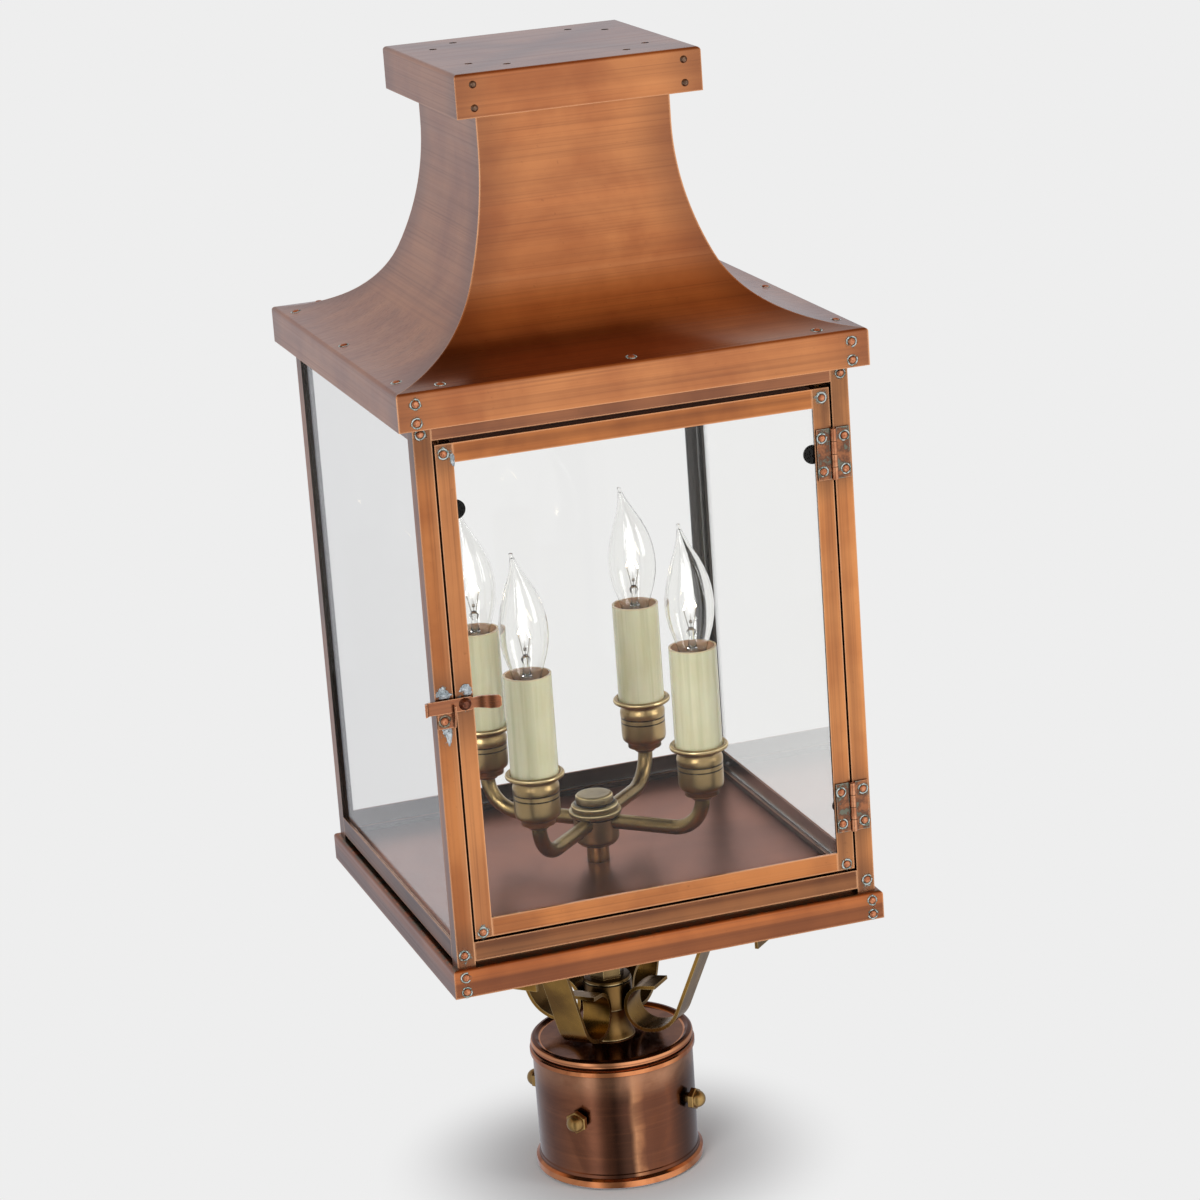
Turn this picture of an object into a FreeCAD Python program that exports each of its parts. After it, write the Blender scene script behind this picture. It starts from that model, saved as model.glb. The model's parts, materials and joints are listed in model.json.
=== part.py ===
import FreeCAD
import Part
import math
import os

# Post top lantern: a square copper lantern with a flared roof, a hinged front door, a cluster of four
# candle lamps and a round fitter that slips over a 76 mm post. Millimetres. The origin is the centre of the
# fitter's lower mouth, +Z is up, the door faces -Y, its hinges are on +X and its latch on -X.

Vector = FreeCAD.Vector
UP = Vector(0, 0, 1)

# ---- driving dimensions ---------------------------------------------------------------------------------

# sheet and section thicknesses
SHEET = 1.2
SECTION_WALL = 1.5
GLASS_THICKNESS = 2.0
GLASS_PLAY = 0.2
FOLD_RADIUS = 2.0
SMALLEST_INNER_FOLD = 0.3

# round fitter on the post
BORE_RADIUS = 40.5
COLLAR_WALL = 3.9
COLLAR_HEIGHT = 70.5
LOWER_BEAD_RADIUS = 3.1
UPPER_BEAD_RADIUS = 2.1
BEAD_STEP = 0.5
BEAD_STEP_HEIGHT = 1.8
BEAD_CORNERS = (-80, -35, 35, 80)
FITTER_CAP_RIM = 1.1
FITTER_CAP_FLOOR = 3.7
FITTER_CAP_RIM_WIDTH = 5.0
# rolled edge of the fitter's cap: (distance in from the rim, height above the collar)
FITTER_CAP_EDGE = ((2.4, 0.0), (2.4, 0.9), (0.4, 1.5), (0.0, 2.6), (0.4, 4.4), (1.4, 5.3), (2.8, 5.5))

# acorn-headed set screws through the collar
SCREW_HEIGHT = 41.0
SCREW_SHANK_RADIUS = 3.0
SCREW_RUNNING_GAP = 0.05
SCREW_HEAD_STANDOFF = 2.6
SCREW_HEX_FLATS = 11.0
SCREW_HEX_THICKNESS = 3.4
SCREW_DOME_RADIUS = 4.9

# coupling, nipple and lock nuts between the fitter and the base
COUPLING_RADIUS = 13.5
COUPLING_HEIGHT = 35.3
COUPLING_BARREL_HEIGHT = 17.5
# flared foot and waist of the coupling: (radius, height above its seat)
COUPLING_FOOT = ((13.4, 0.0), (13.0, 1.2), (11.5, 4.0), (10.5, 7.5), (10.1, 11.0), (10.1, 16.4))
# grooved shoulder of the coupling: (distance in from the barrel, drop from its top)
COUPLING_SHOULDER = ((0.0, 2.8), (0.6, 2.4), (0.0, 2.0), (0.8, 0.0))
NIPPLE_RADIUS = 4.9
NIPPLE_BORE = 3.2
NIPPLE_RUNNING_GAP = 0.05
NIPPLE_SPAN = 66.0
NIPPLE_GRIP = 12.0
NIPPLE_SHORTFALL = 1.0
NUT_FLATS = 17.0
NUT_HEIGHT = 6.5

# scroll straps on the diagonals
STRAP_WIDTH = 16.5
STRAP_THICKNESS = 2.0
STRAP_TIP_OVERHANG = 6.6
STRAP_TIP_RISE = 1.8
STRAP_SCROLL_DIAMETER = 24.0
STRAP_FOOT_LIFT = 8.3
STRAP_FOOT_FLAT = 0.7
STRAP_FOOT_RADIUS = 20.0
STRAP_LEAN_RUN = 39.4
STRAP_ARCH_WIDTH = 16.7
STRAP_ARCH_RADIUS = 10.0
STRAP_TAIL = 36.0

# base pan, floor and body frame
BODY_SPAN = 232.0
BODY_HEIGHT = 303.1
BASE_OVERHANG = 3.3
BASE_DEPTH = 15.3
FLOOR_THICKNESS = 1.0
POST_FACE = 9.6
POST_SIDE = 9.6
REBATE_DEPTH = 9.0
REBATE_LIP = 6.9
BOTTOM_RAIL_LIFT = 2.5
BOTTOM_RAIL_HEIGHT = 10.3
BOTTOM_RAIL_SETBACK = 4.5
TOP_RAIL_HEIGHT = 24.3
TOP_RAIL_SHELF = 9.0
DOOR_STOP_HEIGHT = 6.5

# roof and cap
ROOF_OVERHANG = 9.0
ROOF_LIP_DEPTH = 19.5
ROOF_FRAME_THICKNESS = 2.0
ROOF_FRAME_WIDTH = 24.0
ROOF_RISE = 141.9
NECK_SPAN = 104.0
NECK_FLANGE = 11.0
NECK_STRAIGHT = 37.3
FLARE_TURNS = (23.1, 40.8, 22.0)
FLARE_MIDDLE_RADIUS = 56.0
CAP_OVERHANG = 13.5
CAP_DEPTH = 22.4

# door
DOOR_SIDE_GAP = 1.2
DOOR_TOP_GAP = 2.6
DOOR_BOTTOM_GAP = 1.5
DOOR_DEPTH = 7.0
STILE_WIDTH = 9.3
DOOR_RAIL_HEIGHT = 10.0

# hinges
HINGE_LENGTH = 27.0
HINGE_END_INSET = 21.4
HINGE_KNUCKLES = 4
KNUCKLE_RADIUS = 1.6
KNUCKLE_GAP = 0.3
KNUCKLE_SEAT_GAP = 0.1
HINGE_PIN_RADIUS = 0.8
HINGE_PIN_PLAY = 0.05
LEAF_THICKNESS = 1.0
LEAF_WIDTH = 9.0
LEAF_RIVET_OFFSET = 6.2
LEAF_RIVET_PITCH = 17.6

# latch
LATCH_HEIGHT = 127.2
LATCH_BAR_HEIGHT = 7.0
LATCH_BAR_THICKNESS = 1.2
LATCH_BAR_REACH = 20.8
LATCH_CURL_RADIUS = 2.2
LATCH_TAB_REACH = 18.0
LATCH_TAB_RADIUS = 12.0
LATCH_PIVOT_INSET = 4.2
LATCH_PIVOT_RADIUS = 2.0
LATCH_PIVOT_PLAY = 0.05
LATCH_FACE_GAP = 0.9
LATCH_HEAD_RADIUS = 3.3
LATCH_HEAD_GAP = 0.2
LATCH_HEAD_HEIGHT = 1.6
LATCH_TAB_CLEARANCE = 1.0
# half of the latch tab seen from the front: (share of its run, half height)
LATCH_TAB_OUTLINE = ((0.0, 2.7), (0.3, 3.1), (0.6, 3.5), (0.91, 3.3), (1.0, 2.2))
KEEPER_THICKNESS = 1.0
KEEPER_DROP = 11.7
KEEPER_RISE = 0.3
KEEPER_SLOT_GAP = 0.3
KEEPER_FRONT_GAP = 0.9
KEEPER_HOOK_WIDTH = 2.0
KEEPER_PLATE_WIDTH = 9.2
KEEPER_FOLD = 1.0
KEEPER_RIVET_INSET = 5.7
KEEPER_RIVET_RADIUS = 2.2
KEEPER_RIVET_HEIGHT = 0.8

# rivets
RIVET_RADIUS = 2.0
RIVET_HEIGHT = 0.9
RIVET_CROWN = 0.55
RIVET_SIDES = 12
CORNER_RIVET_INSET = 9.5
BASE_RIVET_INSET = 6.3
# drops of the corner rivets from the top of each folded lip
ROOF_RIVET_DROPS = (6.0, 15.6)
CAP_RIVET_DROPS = (5.6, 17.5)
BASE_RIVET_DROPS = (4.4, 12.2)
POST_RIVET_INSET = 4.0
POST_RIVET_RISE = 4.0
DOOR_RIVET_INSET = 4.2
DOOR_RIVET_HIGH_INSET = 5.0
DOOR_RIVET_LOW_INSET = 3.0
FLANGE_RIVET_INSET = 7.5
FLANGE_RIVET_PITCH = 100.0
NECK_RIVET_PITCH = 64.0
NECK_RIVET_INSET = 4.5
CAP_HOLE_RADIUS = 2.1
PLUG_SINK = 0.3

# glass clips
CLIP_RADIUS = 3.6
CLIP_THICKNESS = 1.2
CLIP_HEAD_RISE = 12.0
DOOR_CLIP_RADIUS = 5.0
DOOR_CLIP_DROP = 35.0
DOOR_CLIP_RISE = 35.0
DOOR_CLIP_GAP = 0.2

# candle cluster
STEM_RADIUS = 6.2
STEM_LENGTH = 9.8
HUB_HEIGHT = 20.0
# outlines of the hub: (radius, height above its foot) and (radius, drop from its top)
HUB_FOOT = ((9.2, 0.0), (10.2, 0.6), (11.7, 2.0), (12.4, 4.0))
HUB_HEAD = ((12.4, 4.0), (14.4, 2.6), (14.4, 0.0))
# outline of the hub's stepped cap: (radius, rise)
HUB_CAP = ((12.9, 0.0), (12.9, 2.6), (12.0, 3.6), (10.4, 4.0), (10.4, 7.6), (9.6, 8.6), (8.4, 9.0))
ARM_RADIUS = 4.1
ARM_FIT = 0.05
ARM_ROOT = 8.6
ARM_HEIGHT_ABOVE_HUB_FOOT = 13.6
ARM_SPREAD = 65.7
ARM_BEND_RADIUS = 18.4
CUP_HEIGHT = 31.7
# outlines of the cup: (radius, height above its foot) and (radius, drop from its top)
CUP_FOOT = ((5.4, 0.0), (9.4, 2.6), (9.4, 5.0), (12.0, 7.2))
CUP_HEAD = (
    (12.4, 12.4), (11.8, 11.9), (12.5, 11.4), (12.6, 7.2), (11.5, 5.2), (12.4, 3.6), (15.1, 2.9),
    (16.0, 1.6), (15.3, 0.3), (14.4, 0.0), (13.6, 0.7),
)
SLEEVE_FIT = 0.1
SLEEVE_RADIUS = 12.9
SLEEVE_WALL = 1.2
SLEEVE_HEIGHT = 55.5
SLEEVE_SEAT = 1.2
SOCKET_RADIUS = 9.0
SOCKET_BORE = 6.4
SOCKET_HEADROOM = 7.6
SOCKET_FLOOR_GAP = 0.2
LAMP_BASE_RADIUS = 6.2
LAMP_BASE_HEIGHT = 18.0
LAMP_BASE_RIM = 6.5
LAMP_BASE_RIM_HEIGHT = 1.0
LAMP_BASE_SINK = 6.0
LAMP_CONTACT_RADIUS = 2.4
LAMP_CONTACT_HEIGHT = 2.5
LAMP_NECK_RADIUS = 6.9
LAMP_RADIUS = 13.4
LAMP_HEIGHT = 73.5
LAMP_GLASS = 0.7
LAMP_TIP_BEND = 5.0
LAMP_TIP_ROOT = 0.6
LAMP_TIP_RADII = (2.5, 1.0)
# swell and taper of the lamp: (share of the radius, share of the height)
LAMP_SWELL = ((0.0, 0.0), (0.33, 0.08), (0.86, 0.24), (1.0, 0.4))
LAMP_TAPER = ((0.94, 0.51), (0.66, 0.69), (0.23, 0.885))

# how far a cutting shape runs past what it cuts, how far one reaches right through, and what counts as level
CUT = 1.0
CUT_THROUGH = 20.0
LEVEL = 1e-6

# ---- heights and places worked out from them ------------------------------------------------------------

BODY_HALF = BODY_SPAN / 2
BASE_HALF = BODY_HALF + BASE_OVERHANG
ROOF_HALF = BODY_HALF + ROOF_OVERHANG
NECK_HALF = NECK_SPAN / 2
CAP_HALF = NECK_HALF + CAP_OVERHANG
COLLAR_RADIUS = BORE_RADIUS + COLLAR_WALL

COUPLING_SEAT_Z = COLLAR_HEIGHT + FITTER_CAP_FLOOR
COUPLING_TOP_Z = COUPLING_SEAT_Z + COUPLING_HEIGHT
BASE_CEILING_Z = COUPLING_TOP_Z + NIPPLE_SPAN
BASE_TOP_Z = BASE_CEILING_Z + SHEET
FLOOR_TOP_Z = BASE_TOP_Z + FLOOR_THICKNESS
BODY_TOP_Z = BASE_TOP_Z + BODY_HEIGHT
ROOF_FRAME_TOP_Z = BODY_TOP_Z + ROOF_FRAME_THICKNESS
ROOF_RIM_Z = ROOF_FRAME_TOP_Z + SHEET
NECK_TOP_Z = ROOF_RIM_Z + ROOF_RISE
CAP_TOP_Z = NECK_TOP_Z + SHEET

GLASS_OUTER = BODY_HALF - SECTION_WALL - GLASS_PLAY
GLASS_INNER = GLASS_OUTER - GLASS_THICKNESS
RAIL_BOTTOM_Z = BASE_TOP_Z + BOTTOM_RAIL_LIFT
RAIL_TOP_Z = RAIL_BOTTOM_Z + BOTTOM_RAIL_HEIGHT
HEAD_RAIL_Z = BODY_TOP_Z - TOP_RAIL_HEIGHT

DOOR_HALF = BODY_HALF - POST_FACE - DOOR_SIDE_GAP
DOOR_LOW_Z = RAIL_TOP_Z + DOOR_BOTTOM_GAP
DOOR_HIGH_Z = HEAD_RAIL_Z - DOOR_TOP_GAP
FRONT_Y = -BODY_HALF
REBATE_BACK_Y = FRONT_Y + REBATE_DEPTH

HINGE_X = BODY_HALF - POST_FACE - DOOR_SIDE_GAP / 2
HINGE_Y = FRONT_Y - KNUCKLE_RADIUS - KNUCKLE_SEAT_GAP
HINGE_LOW_Z = DOOR_LOW_Z + HINGE_END_INSET
HINGE_HIGH_Z = DOOR_HIGH_Z - HINGE_END_INSET - HINGE_LENGTH

LATCH_X = -(DOOR_HALF - LATCH_PIVOT_INSET)
LATCH_Z = DOOR_LOW_Z + LATCH_HEIGHT
LATCH_BACK_Y = FRONT_Y - LATCH_FACE_GAP
LATCH_FRONT_Y = LATCH_BACK_Y - LATCH_BAR_THICKNESS

HUB_LOW_Z = FLOOR_TOP_Z + STEM_LENGTH
ARM_Z = HUB_LOW_Z + ARM_HEIGHT_ABOVE_HUB_FOOT
CUP_LOW_Z = ARM_Z + ARM_BEND_RADIUS
CUP_TOP_Z = CUP_LOW_Z + CUP_HEIGHT
SLEEVE_LOW_Z = CUP_TOP_Z - SLEEVE_SEAT
SLEEVE_TOP_Z = SLEEVE_LOW_Z + SLEEVE_HEIGHT
LAMP_BASE_LOW_Z = SLEEVE_TOP_Z - LAMP_BASE_SINK - LAMP_BASE_HEIGHT
LAMP_NECK_Z = LAMP_BASE_LOW_Z + LAMP_BASE_HEIGHT

DIAGONALS = (45, 135, 225, 315)

# ---- helpers --------------------------------------------------------------------------------------------


def block(x0, x1, y0, y1, z0, z1):
    """Box between two corners given in any order."""
    low = Vector(min(x0, x1), min(y0, y1), min(z0, z1))
    return Part.makeBox(abs(x1 - x0), abs(y1 - y0), abs(z1 - z0), low)


def rod(radius, length, x, y, z, direction=UP):
    """Solid cylinder that starts at a point and runs along a direction."""
    return Part.makeCylinder(radius, length, Vector(x, y, z), direction)


def tube(outer, inner, z0, z1, x=0, y=0):
    """Upright tube."""
    return rod(outer, z1 - z0, x, y, z0).cut(rod(inner, z1 - z0, x, y, z0))


def turned(profile, x=0, y=0):
    """Solid of revolution about the vertical line at (x, y) from (radius, z) corners of a closed outline.

    A corner given as ("arc", (r, z), (r, z)) is a round stretch through the first point to the second.
    """
    edges = []
    start = profile[0]
    here = start
    for step in profile[1:] + [start]:
        if step[0] == "arc":
            middle, end = step[1], step[2]
            arc = Part.Arc(on_section(here), on_section(middle), on_section(end))
            edges.append(arc.toShape())
            here = end
        elif step != here:
            edges.append(Part.makeLine(on_section(here), on_section(step)))
            here = step
    face = Part.Face(Part.Wire(edges))
    solid = face.revolve(Vector(0, 0, 0), UP, 360)
    solid.translate(Vector(x, y, 0))
    return solid


def on_section(point):
    """Point of a turned section, in the XZ plane."""
    return Vector(point[0], 0, point[1])


def risen(outline, z):
    """Corners of an outline given as (radius, height above a level)."""
    return [(radius, z + height) for radius, height in outline]


def dropped(outline, z):
    """Corners of an outline given as (radius, drop below a level)."""
    return [(radius, z - drop) for radius, drop in outline]


def prism(corners, axis, start, end):
    """Straight prism of a closed outline along X, Y or Z.

    Corners are (y, z) along X, (x, z) along Y and (x, y) along Z.
    """
    if axis == "x":
        points = [Vector(start, a, b) for a, b in corners]
        along = Vector(end - start, 0, 0)
    elif axis == "y":
        points = [Vector(a, start, b) for a, b in corners]
        along = Vector(0, end - start, 0)
    else:
        points = [Vector(a, b, start) for a, b in corners]
        along = Vector(0, 0, end - start)
    face = Part.Face(Part.makePolygon(points + points[:1]))
    return face.extrude(along)


def turned_about_z(shape, angle):
    """Copy of a shape turned about the lantern's axis."""
    copy = shape.copy()
    copy.rotate(Vector(0, 0, 0), UP, angle)
    return copy


def mirrored_x(shape):
    """Copy of a shape on the other side of the YZ plane."""
    return shape.mirror(Vector(0, 0, 0), Vector(1, 0, 0))


def filleted_path(corners, radii):
    """Wire in the XZ plane that follows corners, each rounded by its radius with a tangent arc."""
    points = [Vector(a, 0, b) for a, b in corners]
    edges = []
    here = points[0]
    for before, corner, after, radius in zip(points, points[1:], points[2:], radii):
        back = (before - corner).normalize()
        forth = (after - corner).normalize()
        half_angle = back.getAngle(forth) / 2
        reach = radius / math.tan(half_angle)
        centre_way = (back + forth).normalize()
        centre = corner + centre_way * (radius / math.sin(half_angle))
        arc_start = corner + back * reach
        arc_end = corner + forth * reach
        middle = centre - centre_way * radius
        if (arc_start - here).Length > LEVEL:
            edges.append(Part.makeLine(here, arc_start))
        edges.append(Part.Arc(arc_start, middle, arc_end).toShape())
        here = arc_end
    edges.append(Part.makeLine(here, points[-1]))
    return Part.Wire(edges)


def strip(path, thickness, width):
    """Flat strip of even thickness bent along a path in the XZ plane and centred on it."""
    one_side = path.makeOffset2D(thickness / 2, 0, False, True, False)
    face = one_side.makeOffset2D(-thickness, 0, True, True, False)
    solid = face.extrude(Vector(0, width, 0))
    solid.translate(Vector(0, -width / 2, 0))
    return solid


def ring_of_points(radius, sides, z):
    """Corners of a regular polygon about the Z axis."""
    angles = [2 * math.pi * k / sides for k in range(sides)]
    return [Vector(radius * math.cos(a), radius * math.sin(a), z) for a in angles]


def rivet_head(x, y, z, direction, radius=RIVET_RADIUS, height=RIVET_HEIGHT):
    """Low crowned head that stands on a face and points along a direction."""
    low = ring_of_points(radius, RIVET_SIDES, 0)
    high = ring_of_points(radius * RIVET_CROWN, RIVET_SIDES, height)
    faces = [Part.Face(Part.makePolygon(ring + ring[:1])) for ring in (low, high)]
    for k in range(RIVET_SIDES):
        after = (k + 1) % RIVET_SIDES
        corners = [low[k], low[after], high[after], high[k], low[k]]
        faces.append(Part.Face(Part.makePolygon(corners)))
    head = Part.makeSolid(Part.makeShell(faces))
    if head.Volume < 0:
        head.reverse()
    head.Placement = FreeCAD.Placement(Vector(x, y, z), FreeCAD.Rotation(UP, direction))
    return head


def hexagon(flats, height, z0):
    """Upright hexagonal prism on the Z axis."""
    corner_radius = flats / math.sqrt(3)
    angles = [math.radians(60 * k) for k in range(6)]
    corners = [(corner_radius * math.cos(a), corner_radius * math.sin(a)) for a in angles]
    return prism(corners, "z", z0, z0 + height)


def level_at(edge, z):
    """Whether an edge lies flat at a height."""
    return all(abs(vertex.Z - z) < LEVEL for vertex in edge.Vertexes)


def pan(half, top_z, depth, fold):
    """Sheet pan turned upside down: a flat top with four lips folded down over rounded edges."""
    outer = block(-half, half, -half, half, top_z - depth, top_z)
    top_edges = [e for e in outer.Edges if level_at(e, top_z)]
    outer = outer.makeFillet(fold, top_edges)
    inside = half - SHEET
    hollow = block(-inside, inside, -inside, inside, top_z - depth - CUT, top_z - SHEET)
    ceiling_edges = [e for e in hollow.Edges if level_at(e, top_z - SHEET)]
    hollow = hollow.makeFillet(max(fold - SHEET, SMALLEST_INNER_FOLD), ceiling_edges)
    return outer.cut(hollow)


def solids_of(shape):
    """Separate solids of a shape or a list of shapes."""
    if isinstance(shape, (list, tuple)):
        return [solid for item in shape for solid in solids_of(item)]
    return list(shape.Solids)


def save(name, shape):
    """Write one node, its separate solids side by side in one file."""
    solids = solids_of(shape)
    for solid in solids:
        if not solid.isValid():
            print("check", name)
    body = solids[0] if len(solids) == 1 else Part.makeCompound(solids)
    body.exportStep("parts/" + name + ".step")


# ---- roof and cap ---------------------------------------------------------------------------------------

# each side's turn about the axis, from the side that faces +X
SIDES = {"right": 0, "back": 90, "left": 180, "front": 270}


def quarter_bend(start, end, centre):
    """Round edge in the XZ plane between two points, the short way about a centre."""
    middle_way = (start - centre + end - centre).normalize()
    return Part.Arc(start, centre + middle_way * start.distanceToPoint(centre), end).toShape()


def flare_arcs():
    """Three tangent arcs of the roof's concave flare, as (centre, radius, start angle, end angle).

    Each point lies at centre - radius * (cos, sin). The middle radius is set; the top and edge radii are
    solved so that the flare ends exactly on the folded edge.
    """
    top, middle, edge = (math.radians(turn) for turn in FLARE_TURNS)
    first, last = top + middle, top + middle + edge
    start = Vector(NECK_HALF, 0, NECK_TOP_Z - NECK_STRAIGHT)
    run = ROOF_HALF - FOLD_RADIUS * (1 - math.cos(last)) - start.x
    rise = start.z - ROOF_RIM_Z
    run_left = run - FLARE_MIDDLE_RADIUS * (math.cos(top) - math.cos(first))
    rise_left = rise - FLARE_MIDDLE_RADIUS * (math.sin(first) - math.sin(top))
    a, b = 1 - math.cos(top), math.cos(first) - math.cos(last)
    c, d = math.sin(top), math.sin(last) - math.sin(first)
    top_radius = (run_left * d - rise_left * b) / (a * d - b * c)
    edge_radius = (rise_left * a - run_left * c) / (a * d - b * c)
    arcs = []
    angle = 0.0
    for radius, turn in ((top_radius, top), (FLARE_MIDDLE_RADIUS, middle), (edge_radius, edge)):
        centre = start + radius_at(radius, angle)
        arcs.append((centre, radius, angle, angle + turn))
        angle += turn
        start = centre - radius_at(radius, angle)
    return arcs


def radius_at(radius, angle):
    """Vector of a length at an angle in the XZ plane."""
    return Vector(radius * math.cos(angle), 0, radius * math.sin(angle))


def flare_edges(arcs, offset):
    """Edges of the flare, moved towards the inside of the roof by an offset."""
    edges = []
    for centre, radius, start, end in arcs:
        reach = radius + offset
        marks = [centre - radius_at(reach, angle) for angle in (start, (start + end) / 2, end)]
        edges.append(Part.Arc(*marks).toShape())
    return edges


def roof_section():
    """Closed section of one roof sheet: neck flange, upright neck, concave flare, fold and lip."""
    arcs = flare_arcs()
    centre, radius, _, last = arcs[-1]
    edge_out = centre - radius_at(radius, last)
    edge_in = centre - radius_at(radius + SHEET, last)
    fold_centre = edge_out - radius_at(FOLD_RADIUS, last)
    lip_z = ROOF_RIM_Z - ROOF_LIP_DEPTH
    lip_out = Vector(ROOF_HALF, 0, fold_centre.z)
    lip_in = Vector(ROOF_HALF - SHEET, 0, fold_centre.z)
    inner_fold = FOLD_RADIUS - SHEET
    neck_centre = Vector(NECK_HALF - FOLD_RADIUS, 0, NECK_TOP_Z - FOLD_RADIUS)
    neck_out = neck_centre + Vector(FOLD_RADIUS, 0, 0)
    neck_in = neck_centre + Vector(inner_fold, 0, 0)
    flange_out = neck_centre + Vector(0, 0, FOLD_RADIUS)
    flange_in = neck_centre + Vector(0, 0, inner_fold)
    flange_x = NECK_HALF - NECK_FLANGE
    flare_start = Vector(NECK_HALF, 0, NECK_TOP_Z - NECK_STRAIGHT)
    flange_tip = Vector(flange_x, 0, NECK_TOP_Z)
    flange_tip_in = Vector(flange_x, 0, NECK_TOP_Z - SHEET)
    outer = [
        Part.makeLine(flange_tip, flange_out), quarter_bend(flange_out, neck_out, neck_centre),
        Part.makeLine(neck_out, flare_start), *flare_edges(arcs, 0),
        quarter_bend(edge_out, lip_out, fold_centre), Part.makeLine(lip_out, Vector(ROOF_HALF, 0, lip_z)),
        Part.makeLine(Vector(ROOF_HALF, 0, lip_z), Vector(ROOF_HALF - SHEET, 0, lip_z)),
    ]
    inner = [
        Part.makeLine(Vector(ROOF_HALF - SHEET, 0, lip_z), lip_in),
        quarter_bend(edge_in, lip_in, fold_centre),
        *reversed(flare_edges(arcs, SHEET)), Part.makeLine(flare_start - Vector(SHEET, 0, 0), neck_in),
        quarter_bend(neck_in, flange_in, neck_centre), Part.makeLine(flange_in, flange_tip_in),
        Part.makeLine(flange_tip_in, flange_tip),
    ]
    return Part.Face(Part.Wire(outer + inner))


def roof_sheet():
    """The +X roof sheet, cut at 45 degrees where it meets its neighbours."""
    section = roof_section()
    reach = ROOF_HALF + CUT
    bar = section.extrude(Vector(0, 2 * reach, 0))
    bar.translate(Vector(0, -reach, 0))
    low_z = ROOF_RIM_Z - ROOF_LIP_DEPTH - CUT
    wedge = prism([(0, 0), (reach, -reach), (reach, reach)], "z", low_z, NECK_TOP_Z + CUT)
    return bar.common(wedge)


def make_roof():
    sheet = roof_sheet()
    for side, angle in SIDES.items():
        save("roof_sheet_" + side, turned_about_z(sheet, angle))

    frame_outer = ROOF_HALF - FOLD_RADIUS
    frame_inner = frame_outer - ROOF_FRAME_WIDTH
    outer = block(-frame_outer, frame_outer, -frame_outer, frame_outer, BODY_TOP_Z, ROOF_FRAME_TOP_Z)
    low_z = BODY_TOP_Z - CUT
    window = block(-frame_inner, frame_inner, -frame_inner, frame_inner, low_z, ROOF_FRAME_TOP_Z + CUT)
    save("roof_frame", outer.cut(window))

    heads = []
    flange_x = ROOF_HALF - FLANGE_RIVET_INSET
    centre, radius, _, _ = flare_arcs()[-1]
    angle_there = math.acos((centre.x - flange_x) / radius)
    seat_radius = math.sqrt(radius ** 2 - RIVET_RADIUS ** 2)
    foot = centre - radius_at(seat_radius, angle_there)
    upward = radius_at(1, angle_there)
    for y in (-FLANGE_RIVET_PITCH, 0, FLANGE_RIVET_PITCH):
        head = rivet_head(foot.x, y, foot.z, upward)
        heads += [turned_about_z(head, angle) for angle in SIDES.values()]
    heads += lip_rivets(ROOF_HALF, CORNER_RIVET_INSET, [ROOF_RIM_Z - drop for drop in ROOF_RIVET_DROPS])
    save("roof_rivets", heads)


def lip_rivets(half, inset, rows):
    """Rivet heads at both ends of the front and back lips."""
    across = half - inset
    heads = []
    for x in (-across, across):
        for z in rows:
            heads.append(rivet_head(x, -half, z, Vector(0, -1, 0)))
            heads.append(rivet_head(x, half, z, Vector(0, 1, 0)))
    return heads


def make_cap():
    tray = pan(CAP_HALF, CAP_TOP_Z, CAP_DEPTH, FOLD_RADIUS)
    plug_x = NECK_HALF - NECK_RIVET_INSET
    plugs = []
    for angle in SIDES.values():
        for y in (-NECK_RIVET_PITCH / 2, NECK_RIVET_PITCH / 2):
            hole = rod(CAP_HOLE_RADIUS, SHEET + 2 * CUT, plug_x, y, NECK_TOP_Z - CUT)
            tray = tray.cut(turned_about_z(hole, angle))
            plug = rod(CAP_HOLE_RADIUS, SHEET - PLUG_SINK, plug_x, y, NECK_TOP_Z)
            plugs.append(turned_about_z(plug, angle))
    save("cap_tray", tray)
    rows = [CAP_TOP_Z - drop for drop in CAP_RIVET_DROPS]
    save("cap_rivets", plugs + lip_rivets(CAP_HALF, CORNER_RIVET_INSET, rows))


# ---- body frame, base and glass -------------------------------------------------------------------------


def front_left_post():
    """Front post with the rebate that the door closes into: face, outer side, return and stop."""
    outer_x = -BODY_HALF
    face_x = outer_x + POST_FACE
    stop_x = face_x + REBATE_LIP - SECTION_WALL
    wall = SECTION_WALL
    side_y = FRONT_Y + POST_SIDE
    return_y = REBATE_BACK_Y - wall
    return prism([
        (outer_x, FRONT_Y), (face_x, FRONT_Y), (face_x, return_y), (stop_x, return_y),
        (stop_x, REBATE_BACK_Y), (face_x - wall, REBATE_BACK_Y), (face_x - wall, FRONT_Y + wall),
        (outer_x + wall, FRONT_Y + wall), (outer_x + wall, side_y), (outer_x, side_y),
    ], "z", BASE_TOP_Z, BODY_TOP_Z)


def back_right_post():
    """Back post, a plain angle."""
    wall = SECTION_WALL
    half = BODY_HALF
    return prism([
        (half, half), (half - POST_FACE, half), (half - POST_FACE, half - wall), (half - wall, half - wall),
        (half - wall, half - POST_SIDE), (half, half - POST_SIDE),
    ], "z", BASE_TOP_Z, BODY_TOP_Z)


def side_rail(angle, span, outline):
    """Rail between two posts: an outline of (distance from the axis, z) corners, on one side."""
    bar = prism(outline, "y", -span / 2, span / 2)
    return turned_about_z(bar, angle)


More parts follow.
